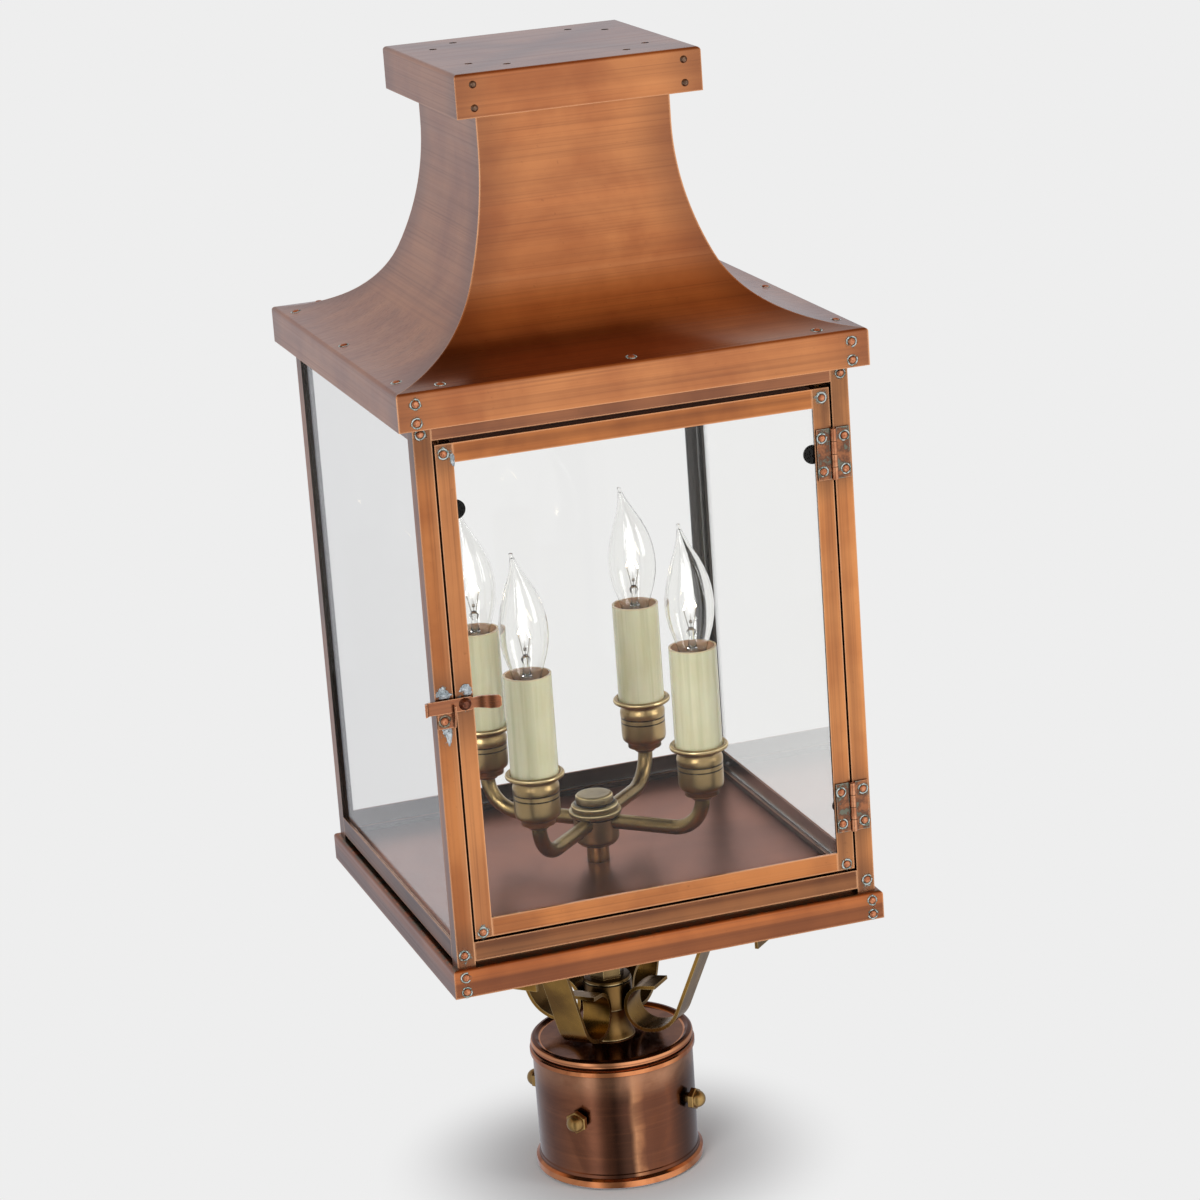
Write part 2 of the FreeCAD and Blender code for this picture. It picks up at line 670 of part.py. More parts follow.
def make_body_frame():
    left_post = front_left_post()
    back_post = back_right_post()
    save("corner_post_front_left", left_post)
    save("corner_post_front_right", mirrored_x(left_post))
    save("corner_post_back_right", back_post)
    save("corner_post_back_left", mirrored_x(back_post))

    wall = SECTION_WALL
    half = BODY_HALF
    span = 2 * (half - POST_FACE)
    shelf = half - TOP_RAIL_SHELF
    foot = half - BOTTOM_RAIL_SETBACK
    plain_head = [
        (half, HEAD_RAIL_Z), (half, BODY_TOP_Z), (shelf, BODY_TOP_Z), (shelf, BODY_TOP_Z - wall),
        (half - wall, BODY_TOP_Z - wall), (half - wall, HEAD_RAIL_Z),
    ]
    shelf_z = RAIL_BOTTOM_Z + wall
    plain_sill = [
        (half, RAIL_BOTTOM_Z), (half, RAIL_TOP_Z), (half - wall, RAIL_TOP_Z), (half - wall, shelf_z),
        (foot - wall, shelf_z), (foot - wall, BASE_TOP_Z), (foot, BASE_TOP_Z), (foot, RAIL_BOTTOM_Z),
    ]
    back = half - REBATE_DEPTH
    door_head = [
        (half, HEAD_RAIL_Z), (half, BODY_TOP_Z), (shelf, BODY_TOP_Z), (shelf, BODY_TOP_Z - wall),
        (half - wall, BODY_TOP_Z - wall), (half - wall, HEAD_RAIL_Z + wall), (back, HEAD_RAIL_Z + wall),
        (back, HEAD_RAIL_Z - DOOR_STOP_HEIGHT), (back + wall, HEAD_RAIL_Z - DOOR_STOP_HEIGHT),
        (back + wall, HEAD_RAIL_Z),
    ]
    door_sill = [
        (half, RAIL_BOTTOM_Z), (half, RAIL_TOP_Z), (back + wall, RAIL_TOP_Z),
        (back + wall, RAIL_TOP_Z + DOOR_STOP_HEIGHT), (back, RAIL_TOP_Z + DOOR_STOP_HEIGHT),
        (back, RAIL_TOP_Z - wall), (half - wall, RAIL_TOP_Z - wall), (half - wall, shelf_z),
        (foot - wall, shelf_z), (foot - wall, BASE_TOP_Z), (foot, BASE_TOP_Z), (foot, RAIL_BOTTOM_Z),
    ]
    heads = [side_rail(SIDES[side], span, plain_head) for side in ("right", "back", "left")]
    sills = [side_rail(SIDES[side], span, plain_sill) for side in ("right", "back", "left")]
    stop_span = 2 * (half - POST_FACE - REBATE_LIP + wall)
    stop_low_z = HEAD_RAIL_Z - DOOR_STOP_HEIGHT - CUT
    stop_high_z = RAIL_TOP_Z + DOOR_STOP_HEIGHT + CUT
    heads.append(front_rail(door_head, span, stop_span, back + wall, stop_low_z, BODY_TOP_Z + CUT))
    sills.append(front_rail(door_sill, span, stop_span, back + wall, RAIL_BOTTOM_Z, stop_high_z))
    save("top_rails", heads)
    save("bottom_rails", sills)

    rows = (HEAD_RAIL_Z + POST_RIVET_RISE, RAIL_BOTTOM_Z + POST_RIVET_RISE)
    save("body_rivets", lip_rivets(BODY_HALF, POST_RIVET_INSET, rows))


def front_rail(outline, span, stop_span, stop_face, low_z, high_z):
    """Front rail whose door stop is shorter than its face, to end between the posts' stops."""
    rail = side_rail(SIDES["front"], span, outline)
    reach = span / 2 + CUT
    behind = -stop_face + 2 * SECTION_WALL
    for sign in (-1, 1):
        rail = rail.cut(block(sign * stop_span / 2, sign * reach, -stop_face, behind, low_z, high_z))
    return rail


def make_base():
    tray = pan(BASE_HALF, BASE_TOP_Z, BASE_DEPTH, FOLD_RADIUS)
    hole_depth = SHEET + FLOOR_THICKNESS + 2 * CUT
    hole = rod(NIPPLE_RADIUS + NIPPLE_RUNNING_GAP, hole_depth, 0, 0, BASE_CEILING_Z - CUT)
    save("base_tray", tray.cut(hole))
    floor_half = BODY_HALF - BOTTOM_RAIL_SETBACK - SECTION_WALL - GLASS_PLAY
    floor = block(-floor_half, floor_half, -floor_half, floor_half, BASE_TOP_Z, FLOOR_TOP_Z)
    notch_x = BODY_HALF - POST_FACE - REBATE_LIP
    notch_y = REBATE_BACK_Y + GLASS_PLAY
    low_z = BASE_TOP_Z - CUT
    high_z = FLOOR_TOP_Z + CUT
    for sign in (-1, 1):
        floor = floor.cut(block(sign * notch_x, sign * BODY_HALF, FRONT_Y, notch_y, low_z, high_z))
    save("floor_plate", floor.cut(hole))
    rows = [BASE_TOP_Z - drop for drop in BASE_RIVET_DROPS]
    save("base_rivets", lip_rivets(BASE_HALF, BASE_RIVET_INSET, rows))


def make_glass():
    """Fixed panes on three sides, the side panes reaching past the back one, with clips behind the heads."""
    low = RAIL_BOTTOM_Z + SECTION_WALL + GLASS_PLAY
    high = BODY_TOP_Z - SECTION_WALL - GLASS_PLAY
    front_end = FRONT_Y + SECTION_WALL + GLASS_PLAY
    side_pane = block(GLASS_INNER, GLASS_OUTER, front_end, GLASS_OUTER, low, high)
    back_end = GLASS_INNER - GLASS_PLAY
    save("glass_right", side_pane)
    save("glass_left", mirrored_x(side_pane))
    save("glass_back", block(-back_end, back_end, GLASS_INNER, GLASS_OUTER, low, high))
    clips = []
    clip_x = GLASS_INNER - CLIP_THICKNESS
    clip_y = BODY_HALF - POST_SIDE - CLIP_RADIUS
    clip_z = HEAD_RAIL_Z + CLIP_HEAD_RISE
    for across in (-clip_y, clip_y):
        clip = rod(CLIP_RADIUS, CLIP_THICKNESS, clip_x, across, clip_z, Vector(1, 0, 0))
        clips += [turned_about_z(clip, SIDES[side]) for side in ("right", "back", "left")]
    save("glass_clips", clips)


# ---- door, hinges and latch -----------------------------------------------------------------------------


def make_door():
    back_y = FRONT_Y + DOOR_DEPTH
    wall = SECTION_WALL
    stile_x = DOOR_HALF - STILE_WIDTH
    right_stile = prism([
        (DOOR_HALF, FRONT_Y), (DOOR_HALF, back_y), (DOOR_HALF - wall, back_y),
        (DOOR_HALF - wall, FRONT_Y + wall), (stile_x, FRONT_Y + wall), (stile_x, FRONT_Y),
    ], "z", DOOR_LOW_Z, DOOR_HIGH_Z)
    save("door_stile_right", right_stile)
    save("door_stile_left", mirrored_x(right_stile))

    top_rail = prism([
        (FRONT_Y, DOOR_HIGH_Z), (back_y, DOOR_HIGH_Z), (back_y, DOOR_HIGH_Z - wall),
        (FRONT_Y + wall, DOOR_HIGH_Z - wall), (FRONT_Y + wall, DOOR_HIGH_Z - DOOR_RAIL_HEIGHT),
        (FRONT_Y, DOOR_HIGH_Z - DOOR_RAIL_HEIGHT),
    ], "x", -stile_x, stile_x)
    bottom_rail = prism([
        (FRONT_Y, DOOR_LOW_Z), (back_y, DOOR_LOW_Z), (back_y, DOOR_LOW_Z + wall),
        (FRONT_Y + wall, DOOR_LOW_Z + wall), (FRONT_Y + wall, DOOR_LOW_Z + DOOR_RAIL_HEIGHT),
        (FRONT_Y, DOOR_LOW_Z + DOOR_RAIL_HEIGHT),
    ], "x", -stile_x, stile_x)
    save("door_rail_top", top_rail)
    save("door_rail_bottom", bottom_rail)

    pane_half = DOOR_HALF - wall - GLASS_PLAY
    pane_y = FRONT_Y + wall + GLASS_PLAY
    pane_back_y = pane_y + GLASS_THICKNESS
    pane_low = DOOR_LOW_Z + wall + GLASS_PLAY
    pane_high = DOOR_HIGH_Z - wall - GLASS_PLAY
    save("door_glass", block(-pane_half, pane_half, pane_y, pane_back_y, pane_low, pane_high))

    clips = []
    inward = Vector(0, 1, 0)
    low_x = stile_x + CLIP_RADIUS + DOOR_CLIP_GAP
    for sign in (-1, 1):
        low_z = DOOR_LOW_Z + DOOR_CLIP_RISE
        high_z = DOOR_HIGH_Z - DOOR_CLIP_DROP
        clips.append(rod(CLIP_RADIUS, CLIP_THICKNESS, sign * low_x, pane_back_y, low_z, inward))
        clips.append(rod(DOOR_CLIP_RADIUS, CLIP_THICKNESS, sign * stile_x, pane_back_y, high_z, inward))
    save("door_glass_clips", clips)

    heads = []
    rivet_x = DOOR_HALF - DOOR_RIVET_INSET
    for x in (-rivet_x, rivet_x):
        for z in (DOOR_LOW_Z + DOOR_RIVET_LOW_INSET, DOOR_HIGH_Z - DOOR_RIVET_HIGH_INSET):
            heads.append(rivet_head(x, FRONT_Y, z, Vector(0, -1, 0)))
    save("door_rivets", heads)


def hinge_leaf(low_z, side, knuckles):
    """Leaf of one hinge with its share of the knuckles; side is 1 for the post and -1 for the door."""
    pitch = HINGE_LENGTH / HINGE_KNUCKLES
    clear = KNUCKLE_RADIUS + KNUCKLE_GAP
    near = HINGE_X + side * clear
    far = near + side * (LEAF_WIDTH - clear)
    plate_y = FRONT_Y - LEAF_THICKNESS
    leaf = block(near, far, plate_y, FRONT_Y, low_z, low_z + HINGE_LENGTH)
    for index in knuckles:
        start = low_z + index * pitch + KNUCKLE_GAP / 2
        length = pitch - KNUCKLE_GAP
        web = block(HINGE_X, near, plate_y, FRONT_Y, start, start + length)
        barrel = rod(KNUCKLE_RADIUS, length, HINGE_X, HINGE_Y, start)
        leaf = leaf.fuse([web, barrel])
    bore = rod(HINGE_PIN_RADIUS + HINGE_PIN_PLAY, HINGE_LENGTH + 2 * CUT, HINGE_X, HINGE_Y, low_z - CUT)
    return leaf.cut(bore).removeSplitter()


def make_hinges():
    pins = []
    post_heads = []
    door_heads = []
    for name, low_z in (("upper", HINGE_HIGH_Z), ("lower", HINGE_LOW_Z)):
        save("hinge_" + name + "_post_leaf", hinge_leaf(low_z, 1, range(0, HINGE_KNUCKLES, 2)))
        save("hinge_" + name + "_door_leaf", hinge_leaf(low_z, -1, range(1, HINGE_KNUCKLES, 2)))
        pin_low = low_z - KNUCKLE_GAP
        pins.append(rod(HINGE_PIN_RADIUS, HINGE_LENGTH + 2 * KNUCKLE_GAP, HINGE_X, HINGE_Y, pin_low))
        middle = low_z + HINGE_LENGTH / 2
        face_y = FRONT_Y - LEAF_THICKNESS
        for z in (middle - LEAF_RIVET_PITCH / 2, middle + LEAF_RIVET_PITCH / 2):
            post_heads.append(rivet_head(HINGE_X + LEAF_RIVET_OFFSET, face_y, z, Vector(0, -1, 0)))
            door_heads.append(rivet_head(HINGE_X - LEAF_RIVET_OFFSET, face_y, z, Vector(0, -1, 0)))
    save("hinge_pins", pins)
    save("hinge_post_rivets", post_heads)
    save("hinge_door_rivets", door_heads)


def latch_plan():
    """Centre line of the latch bar seen from above: curled tail, straight bar, outward thumb tab."""
    middle_y = LATCH_BACK_Y - LATCH_BAR_THICKNESS / 2
    tail_x = LATCH_X - LATCH_BAR_REACH + LATCH_CURL_RADIUS
    tail_end = Vector(tail_x - LATCH_CURL_RADIUS, middle_y - LATCH_CURL_RADIUS, 0)
    tail_start = Vector(tail_x, middle_y, 0)
    curl = math.sin(math.pi / 4) * LATCH_CURL_RADIUS
    tail_mid = Vector(tail_x - curl, middle_y - LATCH_CURL_RADIUS + curl, 0)
    tab_start = Vector(LATCH_X + LATCH_HEAD_RADIUS + LATCH_TAB_CLEARANCE, middle_y, 0)
    tab_run = LATCH_X + LATCH_TAB_REACH - tab_start.x
    sweep = math.asin(tab_run / (2 * LATCH_TAB_RADIUS))
    rise = LATCH_TAB_RADIUS * (1 - math.cos(sweep))
    run = LATCH_TAB_RADIUS * math.sin(sweep)
    half_run = LATCH_TAB_RADIUS * math.sin(sweep / 2)
    half_rise = LATCH_TAB_RADIUS * (1 - math.cos(sweep / 2))
    bend = tab_start + Vector(run, -rise, 0)
    tab_end = bend + Vector(run, -rise, 0)
    return Part.Wire([
        Part.Arc(tail_end, tail_mid, tail_start).toShape(),
        Part.makeLine(tail_start, tab_start),
        Part.Arc(tab_start, tab_start + Vector(half_run, -half_rise, 0), bend).toShape(),
        Part.Arc(bend, bend + Vector(run - half_run, half_rise - rise, 0), tab_end).toShape(),
    ])


def make_latch():
    line = latch_plan()
    side = line.makeOffset2D(LATCH_BAR_THICKNESS / 2, 0, False, True, False)
    strip_face = side.makeOffset2D(-LATCH_BAR_THICKNESS, 0, True, True, False)
    strip_face.translate(Vector(0, 0, LATCH_Z - LATCH_BAR_HEIGHT))
    bar = strip_face.extrude(Vector(0, 0, 2 * LATCH_BAR_HEIGHT))
    bar = bar.common(latch_face_outline())
    outward = Vector(0, -1, 0)
    hole_radius = LATCH_PIVOT_RADIUS + LATCH_PIVOT_PLAY
    save("latch_bar", bar.cut(rod(hole_radius, CUT_THROUGH, LATCH_X, FRONT_Y, LATCH_Z, outward)))

    shank_length = LATCH_FACE_GAP + LATCH_BAR_THICKNESS + LATCH_HEAD_GAP
    shank = rod(LATCH_PIVOT_RADIUS, shank_length, LATCH_X, FRONT_Y, LATCH_Z, outward)
    washer_height = LATCH_FACE_GAP - LATCH_HEAD_GAP
    washer = rod(LATCH_HEAD_RADIUS, washer_height, LATCH_X, FRONT_Y, LATCH_Z, outward)
    head_y = FRONT_Y - shank_length
    head = rivet_head(LATCH_X, head_y, LATCH_Z, outward, LATCH_HEAD_RADIUS, LATCH_HEAD_HEIGHT)
    save("latch_rivet", shank.fuse([washer, head]))


def latch_face_outline():
    """What the latch bar keeps of its strip, seen from the front: a square tail and a waved tab."""
    half = LATCH_BAR_HEIGHT / 2
    left = LATCH_X - LATCH_BAR_REACH - CUT
    bar_end = LATCH_X + LATCH_HEAD_RADIUS
    tab = bar_end + LATCH_TAB_CLEARANCE
    run = LATCH_X + LATCH_TAB_REACH - tab
    upper = [(left, half), (bar_end, half)]
    upper += [(tab + share * run, height) for share, height in LATCH_TAB_OUTLINE]
    lower = [(x, -height) for x, height in upper]
    return prism([(x, LATCH_Z + z) for x, z in upper + lower[::-1]], "y", FRONT_Y, FRONT_Y - CUT_THROUGH)


def make_keeper():
    """Plate riveted to the post whose folded ear holds the latch bar in a slot open at the top."""
    plate_y = FRONT_Y - KEEPER_THICKNESS
    ear_x = -(BODY_HALF - POST_FACE)
    plate_top = LATCH_Z - LATCH_BAR_HEIGHT / 2 - KEEPER_SLOT_GAP
    plate_low = LATCH_Z - KEEPER_DROP
    slot_front_y = LATCH_FRONT_Y - KEEPER_FRONT_GAP
    hook_front_y = slot_front_y - KEEPER_HOOK_WIDTH
    hook_top = LATCH_Z + KEEPER_RISE
    plate = block(ear_x - KEEPER_PLATE_WIDTH, ear_x, plate_y, FRONT_Y, plate_low, plate_top)
    ear = prism([
        (FRONT_Y, plate_low), (FRONT_Y, plate_top), (slot_front_y, plate_top), (slot_front_y, hook_top),
        (hook_front_y, hook_top), (hook_front_y, plate_top - KEEPER_FOLD),
        (slot_front_y + KEEPER_FOLD, plate_low),
    ], "x", ear_x - KEEPER_THICKNESS, ear_x)
    save("latch_keeper", plate.fuse(ear).removeSplitter())
    rivet_x = ear_x - KEEPER_RIVET_INSET
    rivet_z = (plate_low + plate_top) / 2
    outward = Vector(0, -1, 0)
    head = rivet_head(rivet_x, plate_y, rivet_z, outward, KEEPER_RIVET_RADIUS, KEEPER_RIVET_HEIGHT)
    save("keeper_rivet", head)


# ---- candle cluster -------------------------------------------------------------------------------------


def make_cluster_centre():
    save("cluster_stem", tube(STEM_RADIUS, NIPPLE_RADIUS + NIPPLE_RUNNING_GAP, FLOOR_TOP_Z, HUB_LOW_Z))
    high = HUB_LOW_Z + HUB_HEIGHT
    hub = turned([(0, HUB_LOW_Z), *risen(HUB_FOOT, HUB_LOW_Z), *dropped(HUB_HEAD, high), (0, high)])
    socket = rod(ARM_RADIUS + ARM_FIT, CUT_THROUGH, ARM_ROOT, 0, ARM_Z, Vector(1, 0, 0))
    for angle in DIAGONALS:
        hub = hub.cut(turned_about_z(socket, angle))
    save("cluster_hub", hub)
    save("hub_cap", turned([(0, high), *risen(HUB_CAP, high), (0, high + HUB_CAP[-1][1])]))


def cluster_arm():
    """Tube arm along +X: level out of the hub, then one bend up to the cup."""
    bend_x = ARM_SPREAD - ARM_BEND_RADIUS
    path_start = Vector(ARM_ROOT, 0, ARM_Z)
    bend_start = Vector(bend_x, 0, ARM_Z)
    bend_end = Vector(ARM_SPREAD, 0, ARM_Z + ARM_BEND_RADIUS)
    turn = quarter_bend(bend_start, bend_end, Vector(bend_x, 0, ARM_Z + ARM_BEND_RADIUS))
    path = Part.Wire([Part.makeLine(path_start, bend_start), turn])
    ring = Part.Wire([Part.makeCircle(ARM_RADIUS, path_start, Vector(1, 0, 0))])
    return path.makePipeShell([ring], True, True)


def candle_cup():
    """Turned cup with a stepped foot, a grooved body and a rolled rim that seats the candle sleeve."""
    seat = SLEEVE_RADIUS + SLEEVE_FIT
    dish_z = CUP_TOP_Z - CUP_HEAD[-1][1]
    return turned([
        (0, CUP_LOW_Z), *risen(CUP_FOOT, CUP_LOW_Z), *dropped(CUP_HEAD, CUP_TOP_Z),
        (seat, dish_z), (seat, SLEEVE_LOW_Z), (0, SLEEVE_LOW_Z),
    ], ARM_SPREAD)


def lamp_envelope():
    """Clear flame-shaped glass, hollow, whose drawn-out solid tip leans over."""
    swell = LAMP_RADIUS - LAMP_NECK_RADIUS
    outline = [(LAMP_NECK_RADIUS + share * swell, rise) for share, rise in LAMP_SWELL]
    outline += [(LAMP_RADIUS * share, rise) for share, rise in LAMP_TAPER]
    outer = [(radius, LAMP_NECK_Z + rise * LAMP_HEIGHT) for radius, rise in outline]
    inner = [(radius - LAMP_GLASS, z) for radius, z in outer]
    inner[0] = (inner[0][0], LAMP_NECK_Z + LAMP_GLASS)
    end_z = outer[-1][1]
    shell = turned(
        [(0, LAMP_NECK_Z)] + outer + [(0, end_z), (0, end_z - LAMP_GLASS)]
        + [(inner[-1][0], end_z - LAMP_GLASS)] + inner[-2::-1] + [(0, LAMP_NECK_Z + LAMP_GLASS)],
        ARM_SPREAD,
    )
    rise_left = LAMP_NECK_Z + LAMP_HEIGHT - end_z
    lean = math.degrees(math.atan2(LAMP_TIP_BEND, rise_left))
    root = Vector(ARM_SPREAD, 0, end_z - LAMP_TIP_ROOT)
    tip = Part.makeCone(*LAMP_TIP_RADII, rise_left / math.cos(math.radians(lean)), root)
    tip.rotate(root, Vector(0, 1, 0), lean)
    return shell.fuse(tip)


def make_candles():
    """Four arms with their cups, sleeves, sockets and lamps, on the diagonals."""
    arm = cluster_arm()
    socket_low = SLEEVE_LOW_Z
    socket_high = SLEEVE_TOP_Z - SOCKET_HEADROOM
    x = ARM_SPREAD
    socket_floor = LAMP_BASE_LOW_Z - SOCKET_FLOOR_GAP
    socket = tube(SOCKET_RADIUS, SOCKET_BORE, socket_floor, socket_high, x)
    socket = socket.fuse(rod(SOCKET_RADIUS, socket_floor - socket_low, x, 0, socket_low))
    lamp_base = turned([
        (0, LAMP_BASE_LOW_Z), (LAMP_CONTACT_RADIUS, LAMP_BASE_LOW_Z),
        (LAMP_BASE_RADIUS, LAMP_BASE_LOW_Z + LAMP_CONTACT_HEIGHT),
        (LAMP_BASE_RADIUS, LAMP_NECK_Z - LAMP_BASE_RIM_HEIGHT),
        (LAMP_BASE_RIM, LAMP_NECK_Z), (0, LAMP_NECK_Z),
    ], x)
    pieces = {
        "cluster_arms": arm,
        "candle_cups": candle_cup(),
        "candle_sleeves": tube(SLEEVE_RADIUS, SLEEVE_RADIUS - SLEEVE_WALL, SLEEVE_LOW_Z, SLEEVE_TOP_Z, x),
        "lamp_sockets": socket.removeSplitter(),
        "lamp_bases": lamp_base,
        "lamp_glass": lamp_envelope(),
    }
    for name, piece in pieces.items():
        save(name, [turned_about_z(piece, angle) for angle in DIAGONALS])


# ---- post fitting ---------------------------------------------------------------------------------------


def bead(wall_radius, middle_z, size):
    """Corners of a rolled bead that stands out of a round wall by its size."""
    corners = []
    for degrees in BEAD_CORNERS:
        angle = math.radians(degrees)
        corners.append((wall_radius + size * math.cos(angle), middle_z + size * math.sin(angle)))
    return corners


def make_fitter():
    radius = COLLAR_RADIUS
    low_bead = LOWER_BEAD_RADIUS
    step_top = 2 * low_bead + BEAD_STEP_HEIGHT
    high_bead = UPPER_BEAD_RADIUS
    bead_z = COLLAR_HEIGHT - high_bead
    collar = turned([
        (BORE_RADIUS, 0), (radius, 0), *bead(radius, low_bead, low_bead),
        (radius + BEAD_STEP, 2 * low_bead), (radius + BEAD_STEP, step_top), (radius, step_top + BEAD_STEP),
        *bead(radius, bead_z, high_bead), (radius, COLLAR_HEIGHT), (BORE_RADIUS, COLLAR_HEIGHT),
    ])
    hole_radius = SCREW_SHANK_RADIUS + SCREW_RUNNING_GAP
    hole = rod(hole_radius, CUT_THROUGH, BORE_RADIUS - CUT, 0, SCREW_HEIGHT, Vector(1, 0, 0))
    for angle in DIAGONALS:
        collar = collar.cut(turned_about_z(hole, angle))
    save("fitter_collar", collar)

    rim = radius + FITTER_CAP_RIM
    bore = NIPPLE_RADIUS + NIPPLE_RUNNING_GAP
    edge = [(rim - inset, COLLAR_HEIGHT + rise) for inset, rise in FITTER_CAP_EDGE]
    floor = COLLAR_HEIGHT + FITTER_CAP_FLOOR
    save("fitter_cap", turned([
        (bore, COLLAR_HEIGHT), *edge, (rim - FITTER_CAP_RIM_WIDTH, floor), (bore, floor),
    ]))


def make_coupling():
    low = COUPLING_SEAT_Z
    top = COUPLING_TOP_Z
    radius = COUPLING_RADIUS
    bore = NIPPLE_RADIUS + NIPPLE_RUNNING_GAP
    barrel_low = (radius, top - COUPLING_BARREL_HEIGHT)
    shoulder = [(radius - inset, top - drop) for inset, drop in COUPLING_SHOULDER]
    save("coupling", turned([(bore, low), *risen(COUPLING_FOOT, low), barrel_low, *shoulder, (bore, top)]))
    nipple_low = top - NIPPLE_GRIP
    nipple_high = HUB_LOW_Z - NIPPLE_SHORTFALL
    save("threaded_nipple", tube(NIPPLE_RADIUS, NIPPLE_BORE, nipple_low, nipple_high))
    lower_nut = hexagon(NUT_FLATS, NUT_HEIGHT, top)
    upper_nut = hexagon(NUT_FLATS, NUT_HEIGHT, BASE_CEILING_Z - NUT_HEIGHT)
    nut_bore = rod(bore, NIPPLE_SPAN + 2 * CUT, 0, 0, top - CUT)
    save("lock_nuts", [lower_nut.cut(nut_bore), upper_nut.cut(nut_bore)])


def make_straps():
    """S-shaped straps on the diagonals, from the base pan's underside to the coupling."""
    top_z = BASE_CEILING_Z - STRAP_THICKNESS / 2
    near_x = COUPLING_RADIUS + STRAP_THICKNESS / 2
    foot_z = COUPLING_SEAT_Z + STRAP_FOOT_LIFT
    scroll_z = foot_z + STRAP_SCROLL_DIAMETER
    curl = STRAP_SCROLL_DIAMETER / 2
    tip_x = near_x + curl + STRAP_TIP_OVERHANG
    lean = math.atan2(top_z - foot_z, STRAP_LEAN_RUN)
    foot_x = near_x + curl + STRAP_FOOT_FLAT + STRAP_FOOT_RADIUS * math.tan(lean / 2)
    lean_x = foot_x + STRAP_LEAN_RUN
    outer_x = lean_x + STRAP_ARCH_WIDTH
    corners = [
        (tip_x, scroll_z + STRAP_TIP_RISE), (near_x, scroll_z), (near_x, foot_z), (foot_x, foot_z),
        (lean_x, top_z), (outer_x, top_z), (outer_x, top_z - STRAP_TAIL),
    ]
    radii = [curl, curl, STRAP_FOOT_RADIUS, STRAP_ARCH_RADIUS, STRAP_ARCH_RADIUS]
    strap = strip(filleted_path(corners, radii), STRAP_THICKNESS, STRAP_WIDTH)
    save("scroll_straps", [turned_about_z(strap, angle) for angle in DIAGONALS])


def set_screw():
    """Set screw along +X: shank with its tip at the bore wall, hexagon and acorn dome."""
    outward = Vector(1, 0, 0)
    hex_x = COLLAR_RADIUS + SCREW_HEAD_STANDOFF
    shank = rod(SCREW_SHANK_RADIUS, hex_x - BORE_RADIUS, BORE_RADIUS, 0, SCREW_HEIGHT, outward)
    head = hexagon(SCREW_HEX_FLATS, SCREW_HEX_THICKNESS, 0)
    head.rotate(Vector(0, 0, 0), Vector(0, 1, 0), 90)
    head.translate(Vector(hex_x, 0, SCREW_HEIGHT))
    dome_x = hex_x + SCREW_HEX_THICKNESS
    dome = Part.makeSphere(SCREW_DOME_RADIUS, Vector(dome_x, 0, SCREW_HEIGHT), outward, 0, 90, 360)
    return shank.fuse([head, dome]).removeSplitter()


def make_set_screws():
    screw = set_screw()
    names = {225: "front_left", 315: "front_right", 45: "back_right", 135: "back_left"}
    for angle, name in names.items():
        save("set_screw_" + name, turned_about_z(screw, angle))


def main():
    os.makedirs("parts", exist_ok=True)
    make_roof()
    make_cap()
    make_body_frame()
    make_base()
    make_glass()
    make_door()
    make_hinges()
    make_latch()
    make_keeper()
    make_cluster_centre()
    make_candles()
    make_fitter()
    make_coupling()
    make_straps()
    make_set_screws()


main()
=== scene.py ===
import json
from math import cos, pi, radians, sin

import bmesh
import bpy
from mathutils import Matrix, Vector, noise


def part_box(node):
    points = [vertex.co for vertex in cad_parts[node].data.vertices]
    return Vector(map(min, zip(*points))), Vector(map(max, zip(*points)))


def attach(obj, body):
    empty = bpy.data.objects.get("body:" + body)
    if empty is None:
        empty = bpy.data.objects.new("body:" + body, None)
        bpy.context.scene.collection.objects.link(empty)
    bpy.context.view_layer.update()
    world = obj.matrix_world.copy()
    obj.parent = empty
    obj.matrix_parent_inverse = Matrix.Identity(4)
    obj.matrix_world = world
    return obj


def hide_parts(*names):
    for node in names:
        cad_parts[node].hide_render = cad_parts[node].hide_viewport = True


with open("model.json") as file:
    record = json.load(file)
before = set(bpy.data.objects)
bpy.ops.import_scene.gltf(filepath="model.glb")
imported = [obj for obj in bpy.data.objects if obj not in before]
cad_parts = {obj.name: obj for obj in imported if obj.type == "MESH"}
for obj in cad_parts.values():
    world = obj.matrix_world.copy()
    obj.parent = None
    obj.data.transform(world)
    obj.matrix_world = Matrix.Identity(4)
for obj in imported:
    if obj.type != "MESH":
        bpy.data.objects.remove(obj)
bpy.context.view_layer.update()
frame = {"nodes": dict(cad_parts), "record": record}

# Looks of a copper post top lantern. Metres; the frame's origin is the centre of the fitter's lower mouth,
# +Z is up and the door faces -Y.

# ---- places read from the frame ----

MM = 0.001
BASE_TOP_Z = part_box("base_tray")[1].z
SLEEVE_TOP_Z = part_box("candle_sleeves")[1].z
LAMP_LOW_Z, LAMP_HIGH_Z = (corner.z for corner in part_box("lamp_glass"))
BODY_OF = {node: body for body, nodes in frame["record"]["behaviour"]["bodies"].items() for node in nodes}

# camera worked out from the lantern's straight edges: it looks at a point beside the roof tray's centre
CAMERA_AZIMUTH = -17.651
CAMERA_ELEVATION = 16.283
CAMERA_ROLL = -4.158
CAMERA_DISTANCE = 2.0112
CAMERA_AIM_RIGHT = 0.02205
CAMERA_AIM_UP = -0.14925
ROOF_TRAY_Z = 0.4825
PHOTO_PIXELS = 1200
FOCAL_PIXELS = 3807.3
SENSOR_MM = 36.0


# ---- colour and node helpers ----


def tone(red, green, blue):
    """Linear RGBA of a colour given as 0 to 255 screen values."""
    def linear(value):
        share = value / 255
        return share / 12.92 if share <= 0.04045 else ((share + 0.055) / 1.055) ** 2.4
    return linear(red), linear(green), linear(blue), 1.0


